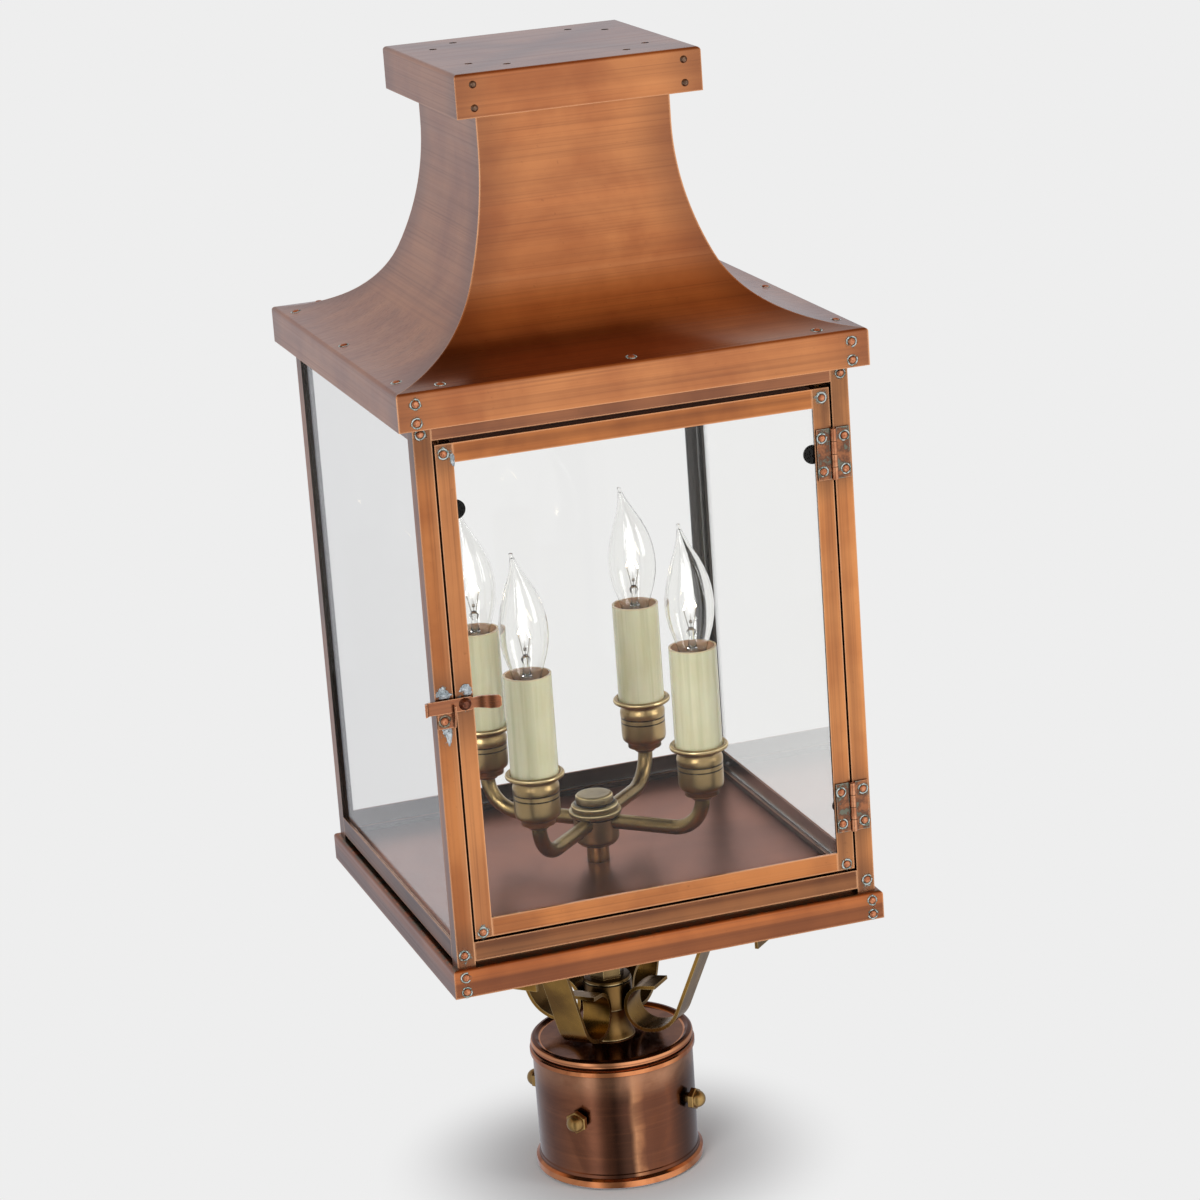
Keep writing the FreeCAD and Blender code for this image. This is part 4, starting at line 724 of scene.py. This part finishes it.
def head_axis(points):
    """Foot centre, outward direction, foot radius and height of a crowned rivet head."""
    centre = sum(points, Vector()) / len(points)
    offs = [point - centre for point in points]
    spread = Matrix([[sum(off[i] * off[j] for off in offs) for j in range(3)] for i in range(3)])
    direction = FIRST_GUESS
    for _ in range(24):
        direction = (spread.inverted_safe() @ direction).normalized()
    above = [off for off in offs if off.dot(direction) > 0]
    below = [off for off in offs if off.dot(direction) <= 0]
    if mean_radius(above, direction) > mean_radius(below, direction):
        direction, above, below = -direction, below, above
    low = min(off.dot(direction) for off in below)
    high = max(off.dot(direction) for off in above)
    return centre + direction * low, direction, mean_radius(below, direction), high - low


def mean_radius(offs, direction):
    """Mean distance of points from an axis through their centre."""
    return sum((off - direction * off.dot(direction)).length for off in offs) / max(len(offs), 1)


def make_rivets(node, material, ring_material):
    """Smooth hammered heads in place of a node's faceted ones, each in a broken ring of patina."""
    heads, collars = bmesh.new(), bmesh.new()
    reach = collars.verts.layers.float.new("reach")
    for solid in separate_solids(node):
        foot, direction, radius, height = head_axis(solid)
        foot_radius = radius * HEAD_FOOT_SHARE
        profile = [(foot_radius, 0)]
        for row in range(HEAD_ROWS):
            angle = pi / 2 * row / HEAD_ROWS
            profile.append((foot_radius * cos(angle) ** 0.8, height * (0.12 + 0.88 * sin(angle))))
        profile.append((0, height))
        start = len(heads.verts)
        lathe_into(heads, profile, RIVET_SEGMENTS, facing(direction, foot))
        heads.verts.ensure_lookup_table()
        for vert in heads.verts[start:]:
            if (vert.co - foot).dot(direction) > 0.2 * height:
                vert.co -= direction * abs(noise.noise(vert.co * 700)) * HAMMER_DEPTH
        add_ring(collars, reach, foot, direction, radius)
    new_piece(node + "_heads", heads, material, BODY_OF[node], node)
    new_film(node + "_patina", collars, ring_material, BODY_OF[node])


def add_ring(builder, reach, foot, direction, radius):
    """Add a thin uneven collar of patina round one head."""
    placing = facing(direction, foot)
    columns = []
    for angle in round_turn(RING_SEGMENTS):
        way = spoke(angle) * radius
        spot = placing @ way
        wide = 1 + 0.09 * noise.noise(spot * 500)
        thick = 1 + 0.5 * noise.noise(spot * 900 + Vector((9, 4, 2)))
        column = []
        for share, lift in RING_ROWS:
            vert = builder.verts.new(placing @ (way * share * wide + up(lift * thick * MM)))
            vert[reach] = share
            column.append(vert)
        columns.append(column)
    skin(builder, list(zip(*columns))[::-1])


# ---- lamps ----

# each corner's angle round the axis, and the way that its lamp's tip leans, in degrees
LAMPS = {
    "front_left": (225, 200), "front_right": (315, 120), "back_right": (45, 165), "back_left": (135, 150),
}
# (share of the full radius, share of the height) of a clear flame-shaped lamp
LAMP_OUTLINE = (
    (0.0, 0.0), (0.50, 0.0), (0.56, 0.02), (0.60, 0.07), (0.74, 0.15), (0.88, 0.23), (0.97, 0.31),
    (1.0, 0.39), (0.985, 0.46), (0.93, 0.53), (0.84, 0.60), (0.72, 0.67), (0.57, 0.74), (0.41, 0.80),
    (0.27, 0.86), (0.165, 0.91), (0.105, 0.95), (0.075, 0.975), (0.085, 0.985), (0.075, 0.995), (0.0, 1.0),
)
LAMP_SEGMENTS = 40
LAMP_RADIUS = 13.2 * MM
LAMP_TALL = LAMP_HIGH_Z - LAMP_LOW_Z - 0.1 * MM
LAMP_WALL = 0.35 * MM
LAMP_INNER_TOP = 0.966
LAMP_LEAN = 4.6 * MM
LEAN_START = 0.55
CANDLE_SPREAD = 65.7 * MM
# in millimetres above the lamp's foot: the glass mount and the bead as (radius, height), the lead wires as
# (height, distance aside)
MOUNT_OUTLINE = (
    (0.0, 1.0), (4.6, 1.0), (3.0, 4.0), (2.0, 8.0), (1.9, 12.0), (2.6, 14.5), (1.2, 16.5), (0.0, 17.0),
)
LEAD_POINTS = ((12, 1.2), (17, 1.9), (27, 4.6))
LEAD_TURN = 70
BEAD_OUTLINE = ((0, 18.5), (0.9, 19.0), (0.9, 20.3), (0, 20.8))
COIL_TURNS = 15
COIL_SAMPLES = 150
COIL_RADIUS = 0.5 * MM
# shells of the bloom: (radius in millimetres, low end, high end as shares of the lamp's height)
BLOOM = ((3.6, 0.30, 0.62), (2.7, 0.33, 0.72), (1.7, 0.36, 0.80))
BLOOM_ROWS = 14


def candle_place(angle):
    return spoke(radians(angle)) * CANDLE_SPREAD


def lean_over(builder, lean):
    """Bend a lamp's upper part over to one side."""
    for vert in builder.verts:
        share = (vert.co.z - LAMP_LOW_Z) / LAMP_TALL
        vert.co += spoke(lean) * LAMP_LEAN * max(0.0, (share - LEAN_START) / (1 - LEAN_START)) ** 1.7


def make_envelope(name, foot, lean, clear):
    """Clear glass with an outer and an inner surface."""
    builder = bmesh.new()
    outer = [(LAMP_RADIUS * r, LAMP_TALL * h) for r, h in LAMP_OUTLINE]
    inner = [(max(LAMP_RADIUS * r - LAMP_WALL * (1 + h), 0.3 * MM), LAMP_TALL * h)
             for r, h in LAMP_OUTLINE if 0.0 < h < 0.96]
    for profile in (outer, [(0.0, LAMP_WALL)] + inner + [(0.0, LAMP_TALL * LAMP_INNER_TOP)]):
        start = len(builder.faces)
        lathe_into(builder, profile, LAMP_SEGMENTS, Matrix.Translation(foot))
        builder.faces.ensure_lookup_table()
        bmesh.ops.recalc_face_normals(builder, faces=builder.faces[start:])
        if start:
            bmesh.ops.reverse_faces(builder, faces=builder.faces[start:])
    lean_over(builder, lean)
    new_piece("lamp_envelope_" + name, builder, clear, "lantern", "lamp_glass")


def make_leads(name, foot, across, nickel):
    """Two lead wires, and a short middle wire with its glass bead."""
    wires = bmesh.new()
    for side in (-MM, MM):
        points = [foot + up(height * MM) + across * side * aside for height, aside in LEAD_POINTS]
        wire_along(wires, points, 0.22 * MM)
    wire_along(wires, [foot + up(15 * MM), foot + up(24 * MM)], 0.16 * MM)
    lathe_into(wires, in_mm(BEAD_OUTLINE), 12, Matrix.Translation(foot))
    new_piece("lamp_leads_" + name, wires, nickel, "lantern")


def make_filament(name, foot, across, hot):
    """Coiled wire that arches between the leads."""
    coil = bmesh.new()
    points = []
    for k in range(COIL_SAMPLES + 1):
        share = k / COIL_SAMPLES
        swing = 2 * pi * COIL_TURNS * share
        place = foot + across * (share - 0.5) * 9.2 * MM + up((27 + sin(pi * share) * 5.5) * MM)
        place += Vector((-across.y, across.x, 0)) * cos(swing) * COIL_RADIUS
        points.append(place + up(sin(swing) * COIL_RADIUS))
    wire_along(coil, points, 0.14 * MM)
    new_piece("lamp_filament_" + name, coil, hot, "lantern")


def make_bloom(name, foot, lean, shells):
    """Ragged shells of light round the filament, one inside another."""
    for number, (radius, start, end) in enumerate(BLOOM):
        cloud = bmesh.new()
        profile = [(0.0, LAMP_TALL * start)]
        for row in range(1, BLOOM_ROWS):
            share = row / BLOOM_ROWS
            swell = sin(pi * share) ** 0.75 * (1.15 - 0.55 * share)
            profile.append((radius * MM * swell, LAMP_TALL * (start + (end - start) * share)))
        profile.append((0.0, LAMP_TALL * end))
        lathe_into(cloud, profile, 20, Matrix.Translation(foot))
        for vert in cloud.verts:
            ragged = noise.noise_vector(vert.co * 160 + Vector((number * 7, 0, 0))) * 0.9 * MM
            vert.co += Vector((ragged.x, ragged.y, 0))
        lean_over(cloud, lean)
        new_piece("lamp_bloom_%s_%d" % (name, number), cloud, shells[number], "lantern")


def wire_along(builder, points, radius, sides=8):
    """Add a round wire through points."""
    rings = []
    for index, point in enumerate(points):
        before = points[max(index - 1, 0)]
        after = points[min(index + 1, len(points) - 1)]
        placing = facing((after - before).normalized(), point)
        rings.append([builder.verts.new(placing @ (spoke(turn) * radius)) for turn in round_turn(sides)])
    for low, high in zip(rings, rings[1:]):
        turn = min(range(sides), key=lambda k: (high[k].co - low[0].co).length)
        for k in range(sides):
            after = (k + 1) % sides
            builder.faces.new([low[k], low[after], high[(after + turn) % sides], high[(k + turn) % sides]])
    builder.faces.new(rings[0][::-1])
    builder.faces.new(rings[-1])


def make_lamps():
    clear = lamp_envelope_glass("lamp_clear_glass")
    nickel = wire_nickel("lamp_wire")
    hot = glowing("lamp_filament_hot", (1.0, 0.86, 0.62, 1.0), 14.0)
    shells = [glow_shell("lamp_bloom_outer", 0.25), glow_shell("lamp_bloom_middle", 0.4),
              glow_shell("lamp_bloom_core", 0.65)]
    for name, (angle, lean) in LAMPS.items():
        lean = radians(lean)
        foot = candle_place(angle) + up(LAMP_LOW_Z)
        across = spoke(radians(angle + LEAD_TURN))
        make_envelope(name, foot, lean, clear)
        mount = bmesh.new()
        lathe_into(mount, in_mm(MOUNT_OUTLINE), 24, Matrix.Translation(foot))
        new_piece("lamp_mount_" + name, mount, clear, "lantern")
        make_leads(name, foot, across, nickel)
        make_filament(name, foot, across, hot)
        make_bloom(name, foot, lean, shells)


# ---- solder and stains ----

SOLDER_Y = -116.0
STAIN_Y = -116.05
LEAF_STAIN_Y = -117.08


def make_blobs(name, body, material, marks):
    """Solder drops on the front face: (x, z, half width, half height, lift, taper) in millimetres."""
    builder = bmesh.new()
    for x, z, wide, tall, lift, taper in marks:
        centre = Vector((x, SOLDER_Y, z)) * MM
        start = len(builder.verts)
        bmesh.ops.create_icosphere(builder, subdivisions=4, radius=1.0)
        builder.verts.ensure_lookup_table()
        for vert in builder.verts[start:]:
            way = vert.co.copy()
            uneven = 1 + 0.45 * noise.noise(way * 1.9 + centre * 900)
            uneven += 0.2 * noise.noise(way * 5 + centre * 500)
            across = wide * uneven * (1 + taper * way.z)
            vert.co = centre + Vector((way.x * across, way.y * lift * uneven, way.z * tall * uneven)) * MM
    new_piece(name, builder, material, body)


def make_stains(name, body, material, y, marks):
    """Flat ragged patches on a front face: (x, z, half width, half height) in millimetres."""
    builder = bmesh.new()
    reach = builder.verts.layers.float.new("reach")
    for x, z, wide, tall in marks:
        centre = Vector((x, y, z)) * MM
        rings = [[builder.verts.new(centre)]]
        for share in (0.35, 0.7, 1.0):
            ring = []
            for angle in round_turn(28):
                way = Vector((cos(angle) * wide, 0, sin(angle) * tall)) * share * MM
                vert = builder.verts.new(centre + way)
                vert[reach] = share
                ring.append(vert)
            rings.append(ring)
        skin(builder, rings[::-1])
    new_film(name, builder, material, body)


def make_solder():
    """Solder and weathering of the latch, the keeper and the door's corners."""
    tin = solder("solder_tin")
    bloom = stain("stain_green")
    make_blobs("solder_on_post", "lantern", tin, [
        (-112.0, 325.6, 3.1, 2.4, 0.8, -0.5), (-110.6, 323.6, 3.3, 1.5, 0.6, 0.0),
        (-110.2, 301.6, 1.5, 4.4, 0.7, 0.5), (-111.4, 304.6, 1.8, 2.0, 0.6, 0.3),
    ])
    make_blobs("solder_on_stile", "door", tin, [
        (-99.7, 325.8, 2.6, 2.2, 0.45, -0.3), (-98.6, 323.4, 2.2, 1.4, 0.4, 0.0),
        (-96.4, 444.4, 1.0, 3.2, 0.5, 0.1),
    ])
    make_stains("stains_on_post", "lantern", bloom, STAIN_Y, [
        (-111.4, 304.0, 4.4, 9.0), (-111.6, 325.0, 4.4, 5.4), (-111.8, 182.5, 4.6, 5.6),
        (-111.4, 460.5, 4.4, 4.6), (111.2, 460.5, 4.6, 5.4), (111.6, 182.0, 4.4, 5.0),
    ])
    make_stains("stains_on_door", "door", bloom, STAIN_Y, [
        (-100.2, 320.0, 4.8, 8.6), (-100.8, 194.6, 4.6, 6.0), (-97.0, 444.0, 3.0, 6.4),
        (-100.6, 449.0, 4.6, 4.6), (100.2, 449.0, 4.8, 5.2), (100.8, 195.0, 4.4, 4.6),
    ])
    make_stains("stains_on_hinge_leaves", "door", bloom, LEAF_STAIN_Y, [
        (99.4, 427.0, 3.4, 5.0), (99.4, 410.0, 3.2, 4.4), (99.4, 235.0, 3.4, 4.8), (99.4, 217.0, 3.2, 4.4),
    ])


# ---- turned brass ----

TURNED_SEGMENTS = 72
# (radius, height above the foot) in millimetres, with each edge cut twice so that it stays crisp
CUP_OUTLINE = (
    (4.2, 0.05), (5.4, 0.05), (6.4, 1.1), (7.6, 2.0), (9.2, 2.6), (9.4, 2.8), (9.4, 5.0), (9.6, 5.3),
    (11.3, 6.6), (12.0, 7.4), (12.3, 9.0), (12.4, 11.0), (12.4, 17.3), (12.4, 17.5), (12.25, 17.7),
    (12.4, 17.9), (12.4, 18.1), (12.4, 20.1), (12.4, 20.3), (12.25, 20.5), (12.4, 20.7), (12.5, 20.9),
    (12.6, 23.4), (12.5, 24.2), (11.9, 25.4), (11.5, 26.5), (11.9, 27.4), (12.6, 28.1), (14.0, 28.6),
    (15.1, 28.8), (15.8, 29.3), (16.0, 30.1), (15.8, 30.9), (15.2, 31.5), (14.4, 31.7), (13.8, 31.4),
    (13.6, 31.0), (13.3, 30.6), (13.1, 30.5),
)
HUB_OUTLINE = (
    (6.3, 0.05), (9.2, 0.05), (9.3, 0.1), (10.1, 0.5), (10.2, 0.7), (11.0, 1.4), (11.7, 2.1), (12.1, 2.9),
    (12.4, 4.0), (12.4, 4.1), (12.4, 15.6), (12.4, 15.9), (12.7, 16.4), (13.6, 17.0), (14.3, 17.5),
    (14.4, 17.8), (14.4, 19.7), (14.3, 19.9), (12.8, 19.95),
)
HUB_CAP_OUTLINE = (
    (12.8, 0.05), (12.9, 0.2), (12.9, 2.4), (12.8, 2.7), (12.2, 3.3), (11.8, 3.6), (10.7, 3.9), (10.4, 4.05),
    (10.35, 4.3), (10.4, 4.6), (10.4, 7.5), (10.3, 7.8), (9.8, 8.4), (9.5, 8.6), (8.8, 8.85), (8.2, 8.95),
    (8.0, 8.95), (0.0, 8.95),
)
COUPLING_OUTLINE = (
    (6.0, 0.02), (13.2, 0.02), (13.35, 0.1), (13.3, 0.6), (13.0, 1.2), (12.2, 2.5), (11.5, 4.0), (10.9, 5.8),
    (10.5, 7.5), (10.25, 9.2), (10.1, 11.0), (10.1, 16.3), (10.15, 16.5), (11.8, 17.2), (13.2, 17.8),
    (13.4, 17.9), (13.45, 18.1), (13.45, 32.3), (13.4, 32.5), (12.9, 32.9), (13.4, 33.3), (13.4, 33.6),
    (12.9, 34.9), (12.7, 35.2), (12.4, 35.28), (6.0, 35.28),
)
# heights above each foot, in millimetres, of grooves painted dark as shade and of rims painted bright as
# highlights
CUP_GROOVES = (17.7, 20.5)
CUP_RIMS = (30.9, 2.7)
HUB_GROOVES = (16.0,)
HUB_RIMS = (1.6, 19.6)
HUB_CAP_GROOVES = (4.1,)
HUB_CAP_RIMS = (2.75, 8.25)
COUPLING_GROOVES = (17.6, 32.9)
COUPLING_RIMS = (0.5, 18.3, 33.5)
# acorn-headed screw: rows of (distance out from the collar's bore wall, half width across flats or radius)
SCREW_SHANK = ((0.02, 2.8), (0.3, 2.98), (6.5, 2.98))
SCREW_HEXAGON = ((6.5, 5.0), (6.85, 5.46), (9.45, 5.46), (9.85, 5.1), (9.9, 4.8))
SCREW_DOME_START = 9.9
SCREW_DOME_RADIUS = 4.88
SCREW_DOME_ROWS = 12
SCREW_SIDES = 48
SCREW_EDGE = radians(24)
BORE_WALL = 40.5
SCREW_LEVEL = 41.0


def levels(node, rises):
    """Heights above a node's foot, as places."""
    return [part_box(node)[0].z + rise * MM for rise in rises]


def make_turned(name, node, outline, material, places=(Vector(),)):
    """Turned pieces with crisp rims in place of a node."""
    builder = bmesh.new()
    foot = up(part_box(node)[0].z)
    for place in places:
        lathe_into(builder, in_mm(outline), TURNED_SEGMENTS, Matrix.Translation(place + foot))
    bmesh.ops.recalc_face_normals(builder, faces=builder.faces)
    new_piece(name, builder, material, BODY_OF[node], node)


def make_turned_brass():
    """The candle cups, the hub and its cap, and the coupling."""
    cup = turned_brass("brass_cup", levels("candle_cups", CUP_GROOVES), levels("candle_cups", CUP_RIMS))
    make_turned("turned_cups", "candle_cups", CUP_OUTLINE, cup,
                [candle_place(angle) for angle, _ in LAMPS.values()])
    hub = turned_brass("brass_hub", levels("cluster_hub", HUB_GROOVES) + levels("hub_cap", HUB_CAP_GROOVES),
                       levels("cluster_hub", HUB_RIMS) + levels("hub_cap", HUB_CAP_RIMS),
                       (156, 140, 106), (120, 104, 74), 0.35)
    make_turned("turned_hub", "cluster_hub", HUB_OUTLINE, hub)
    make_turned("turned_hub_cap", "hub_cap", HUB_CAP_OUTLINE, hub)
    coupling = turned_brass("brass_coupling", levels("coupling", COUPLING_GROOVES),
                            levels("coupling", COUPLING_RIMS), (156, 120, 68), (112, 82, 44), 0.33)
    make_turned("turned_coupling", "coupling", COUPLING_OUTLINE, coupling)


def make_screw(side, outward, material):
    """Acorn-headed set screw: round shank, hexagon with one corner up, and a smooth dome."""
    across = Vector((-outward.y, outward.x, 0))
    turns = round_turn(SCREW_SIDES)
    rows = [(out, [radius] * SCREW_SIDES) for out, radius in SCREW_SHANK]
    for out, flat in SCREW_HEXAGON:
        rows.append((out, [flat / cos(turn % (pi / 3) - pi / 6) for turn in turns]))
    for k in range(SCREW_DOME_ROWS + 1):
        slope = pi / 2 * k / SCREW_DOME_ROWS
        radius = SCREW_DOME_RADIUS * max(cos(slope), 0.001)
        rows.append((SCREW_DOME_START + SCREW_DOME_RADIUS * sin(slope), [radius] * SCREW_SIDES))
    builder = bmesh.new()
    rings = []
    for out, radii in rows:
        middle = outward * (BORE_WALL + out) + up(SCREW_LEVEL)
        spokes = [up(cos(turn)) + across * sin(turn) for turn in turns]
        rings.append([builder.verts.new((middle + way * radius) * MM) for way, radius in zip(spokes, radii)])
    skin(builder, rings)
    bmesh.ops.recalc_face_normals(builder, faces=builder.faces)
    node = "set_screw_" + side
    piece = new_piece("acorn_screw_" + side, builder, material, BODY_OF[node], node)
    piece.data.set_sharp_from_angle(angle=SCREW_EDGE)


def make_screws():
    material = aged_brass("brass_acorn", (700, 700, 700), (200, 164, 104), (158, 124, 72), 0.33, edges=0)
    for side, (angle, _) in LAMPS.items():
        make_screw(side, spoke(radians(angle)), material)


# ---- the lantern ----


def assign(material, *nodes):
    """Give CAD nodes a material."""
    for node in nodes:
        mesh = frame["nodes"][node].data
        mesh.materials.clear()
        mesh.materials.append(material)


# light and middle copper of the uprights, painted lighter on the right than on the left as lit and shaded
# copies of one copper, and where they are jointed, latched and hinged
UPRIGHTS_LIT_AND_SHADED = {
    "left": ((208, 130, 68), (172, 98, 44), (184, 318, 458)),
    "right": ((244, 162, 94), (216, 134, 72), (180, 226, 417, 460)),
}


def dress_sheet_metal():
    """Copper of the roof, posts, rails, pan and door."""
    assign(brushed_copper("copper_sheet", corner=True, bold=0.3), "roof_sheet_front",
           "roof_sheet_right", "roof_sheet_back", "roof_sheet_left", "roof_frame", "cap_tray")
    for side, (light, mid, joints) in UPRIGHTS_LIT_AND_SHADED.items():
        copper = brushed_copper("copper_upright_painted_light_" + side, light, mid, (104, 50, 20), ALONG_HEIGHT,
                                bold=1.15, edge_mm=1.5, coat=0.8, corner_shade_mm=3, pale=0.25,
                                joints=[height * MM for height in joints])
        assign(copper, "corner_post_front_" + side, "corner_post_back_" + side, "door_stile_" + side)
    assign(brushed_copper("copper_level", (212, 130, 66), (170, 96, 44), (96, 46, 20),
                          corner_shade_mm=3, edge_mm=1.6, coat=0.7), "door_rail_top", "door_rail_bottom")
    assign(brushed_copper("copper_pan", (208, 120, 60), (172, 92, 42), (96, 44, 20),
                          seam_z=BASE_TOP_Z + 0.4 * MM, corner_shade_mm=3, edge_mm=1.6, coat=0.7,
                          shade_below=BASE_TOP_Z - 4 * MM), "base_tray")
    # painted shade: darker copies of the copper for the top rails and the bottom rails
    assign(brushed_copper("copper_shaded_rail", (170, 104, 62), (138, 78, 42),
                          (84, 44, 24), corner_shade_mm=6), "top_rails")
    assign(brushed_copper("copper_low_rail_painted_shade", (146, 86, 46), (112, 62, 32), (66, 34, 18),
                          corner_shade_mm=3, edge_mm=1.6, coat=0.6), "bottom_rails")
    assign(floor_copper("copper_floor_plate"), "floor_plate")


def dress_fittings():
    """Hinges, latch, post fitting, cluster, clips and glass."""
    assign(brushed_copper("copper_fitting", (190, 114, 66), (150, 84, 46), (92, 46, 24),
                          roughness=0.22, inside=False, edge_mm=0.8, corner_shade_mm=1.5),
           "hinge_pins", "latch_bar", "latch_keeper")
    assign(hinge_copper("copper_hinge"), "hinge_upper_post_leaf", "hinge_upper_door_leaf",
           "hinge_lower_post_leaf", "hinge_lower_door_leaf")
    assign(collar_copper("copper_collar"), "fitter_collar")
    assign(polished_cap("copper_polished_cap"), "fitter_cap")
    assign(aged_brass("brass_turned"), "lock_nuts", "threaded_nipple")
    assign(aged_brass("brass_strap", (160, 160, 10), (186, 142, 66), (128, 92, 38), 0.28), "scroll_straps")
    assign(aged_brass("brass_arm", (900, 900, 900), (152, 128, 82), (120, 98, 60), 0.3, edges=0),
           "cluster_arms", "cluster_stem")
    assign(clear_pane("glass_pane"), "glass_right", "glass_left")
    assign(clear_pane("glass_pane_plain", 1.25), "glass_back", "door_glass")
    assign(dark_plastic("clip_dark"), "glass_clips", "door_glass_clips", "lamp_sockets")
    assign(candle_ivory("candle_sleeve_ivory"), "candle_sleeves")
    assign(bright_cap_brass("lamp_cap"), "lamp_bases")


def make_all_rivets():
    copper = rivet_copper("rivet_head_copper")
    ring = patina_ring("rivet_patina")
    for node in ("body_rivets", "base_rivets", "door_rivets", "hinge_post_rivets", "hinge_door_rivets",
                 "roof_rivets"):
        make_rivets(node, copper, ring)
    make_rivets("keeper_rivet", copper, patina_ring("rivet_patina_dark", (150, 140, 120), (84, 84, 70)))
    assign(rivet_copper("rivet_head_pivot", (140, 86, 66), (84, 50, 38)), "latch_rivet")
    assign(rivet_copper("rivet_head_aged", (150, 120, 100), (96, 74, 60)), "cap_rivets")


# ---- stage, lights and camera ----


def grey(level):
    return level, level, level, 1


PALE = (238, 238, 238)
FLOOR_RADIUS = 6.0
# distances from the object over which the floor goes from matte to the background's colour
SHADOW_END = 0.045
FADE_END = 0.14


def make_stage():
    """Pale floor that keeps the object's shadow and fades into the pale background."""
    builder = bmesh.new()
    bmesh.ops.create_circle(builder, cap_ends=True, segments=96, radius=FLOOR_RADIUS)
    floor = link("floor", mesh_from("floor", builder))
    n = Nodes("floor_pale")
    n.colour = n.mix(n.grain(4, 3, 0.5), grey(0.80), grey(0.83))
    matte = n.principled(0.6)
    far = n.span(n.vector("LENGTH", n.place)["Value"], SHADOW_END, FADE_END)
    floor.data.materials.append(n.show(n.either(n.calc("MULTIPLY", n.seen(), far), matte, n.glow(PALE))))
    floor.visible_glossy = False


# brightness of the room as the metal sees it, by share of a turn from the back left, then by height
ROOM_ROUND = (
    (0.0, 0.44), (0.06, 0.52), (0.095, 1.0), (0.11, 0.95), (0.135, 0.40), (0.155, 0.22), (0.195, 0.20),
    (0.225, 0.70), (0.26, 1.0), (0.31, 1.0), (0.36, 0.82), (0.42, 0.90), (0.46, 0.60), (0.52, 0.36),
    (0.64, 0.36), (0.70, 0.52), (0.80, 0.49), (0.90, 0.43), (1.0, 0.44),
)
ROOM_UPWARD = (
    (0.0, grey(0.8)), (0.28, grey(0.9)), (0.42, grey(1)), (0.56, grey(1)), (0.66, (0.80, 0.74, 0.68, 1)),
    (0.76, (0.50, 0.33, 0.20, 1)), (0.88, (0.30, 0.16, 0.07, 1)), (1.0, (0.26, 0.14, 0.06, 1)),
)
COOL_BACK = (0.95, 0.97, 1.05, 1)
WARM_FRONT = (1.0, 0.99, 0.97, 1)
ROOM_DIFFUSE = (0.52, 0.52, 0.53, 1)


def make_surroundings():
    """Pale background, soft even light, and a studio of bright and dark screens for the metal to mirror."""
    n = Nodes("studio", "worlds", "World", "Generated")
    way = n.apart()
    height = n.calc("ADD", n.calc("DIVIDE", n.calc("ARCSINE", way["Z"]), pi), 0.5)
    room = n.ramp(n.turn_share(), [(share, grey(level)) for share, level in ROOM_ROUND])
    room = n.mix(n.span(way["Z"], 0.45, 0.85), room, grey(1))
    mirrored = n.mix(1.0, room, n.ramp(height, ROOM_UPWARD), "MULTIPLY")
    tint = n.mix(n.span(way["Y"], -0.2, 0.5), WARM_FRONT, COOL_BACK)
    mirrored = n.mix(1.0, mirrored, tint, "MULTIPLY")
    colour = n.mix(n.seen(), n.mix(n.ray("Glossy"), ROOM_DIFFUSE, mirrored), PALE)
    bpy.context.scene.world = n.show(n.add("ShaderNodeBackground", {"Color": colour}).outputs[0])


# softboxes: (name, place, width, height, power), all aimed at the middle of the lantern
SOFTBOXES = (
    ("key_left", (-1.7, -1.8, 1.3), 1.0, 1.4, 26),
    ("fill_right", (1.9, -1.7, 0.9), 0.9, 1.4, 17),
    ("overhead", (0.1, 0.2, 2.4), 1.4, 1.4, 16),
)
LIT_PLACE = Vector((0.0, 0.0, 0.35))


def make_lights():
    for name, place, width, height, power in SOFTBOXES:
        data = bpy.data.lights.new(name, "AREA")
        data.shape = "RECTANGLE"
        data.size = width
        data.size_y = height
        data.energy = power
        lamp = link(name, data)
        lamp.location = place
        lamp.rotation_mode = "QUATERNION"
        lamp.rotation_quaternion = (LIT_PLACE - Vector(place)).to_track_quat("-Z", "Y")
        lamp.visible_glossy = False


def make_camera():
    azimuth, elevation, roll = (radians(a) for a in (CAMERA_AZIMUTH, CAMERA_ELEVATION, CAMERA_ROLL))
    level_right = spoke(azimuth)
    forward = spoke(azimuth + pi / 2) * cos(elevation) - up(sin(elevation))
    level_up = level_right.cross(forward)
    right = level_right * cos(roll) + level_up * sin(roll)
    upward = level_up * cos(roll) - level_right * sin(roll)
    aim = up(ROOF_TRAY_Z) + right * CAMERA_AIM_RIGHT + upward * CAMERA_AIM_UP
    data = bpy.data.cameras.new("photo_camera")
    data.sensor_width = SENSOR_MM
    data.lens = FOCAL_PIXELS / PHOTO_PIXELS * SENSOR_MM
    camera = link("photo_camera", data)
    turn = Matrix((right, upward, -forward)).transposed().to_4x4()
    camera.matrix_world = Matrix.Translation(aim - forward * CAMERA_DISTANCE) @ turn
    bpy.context.scene.camera = camera


dress_sheet_metal()
dress_fittings()
make_all_rivets()
make_turned_brass()
make_screws()
make_lamps()
make_solder()
make_stage()
make_surroundings()
make_lights()
make_camera()
bpy.context.scene.view_settings.view_transform = "Standard"
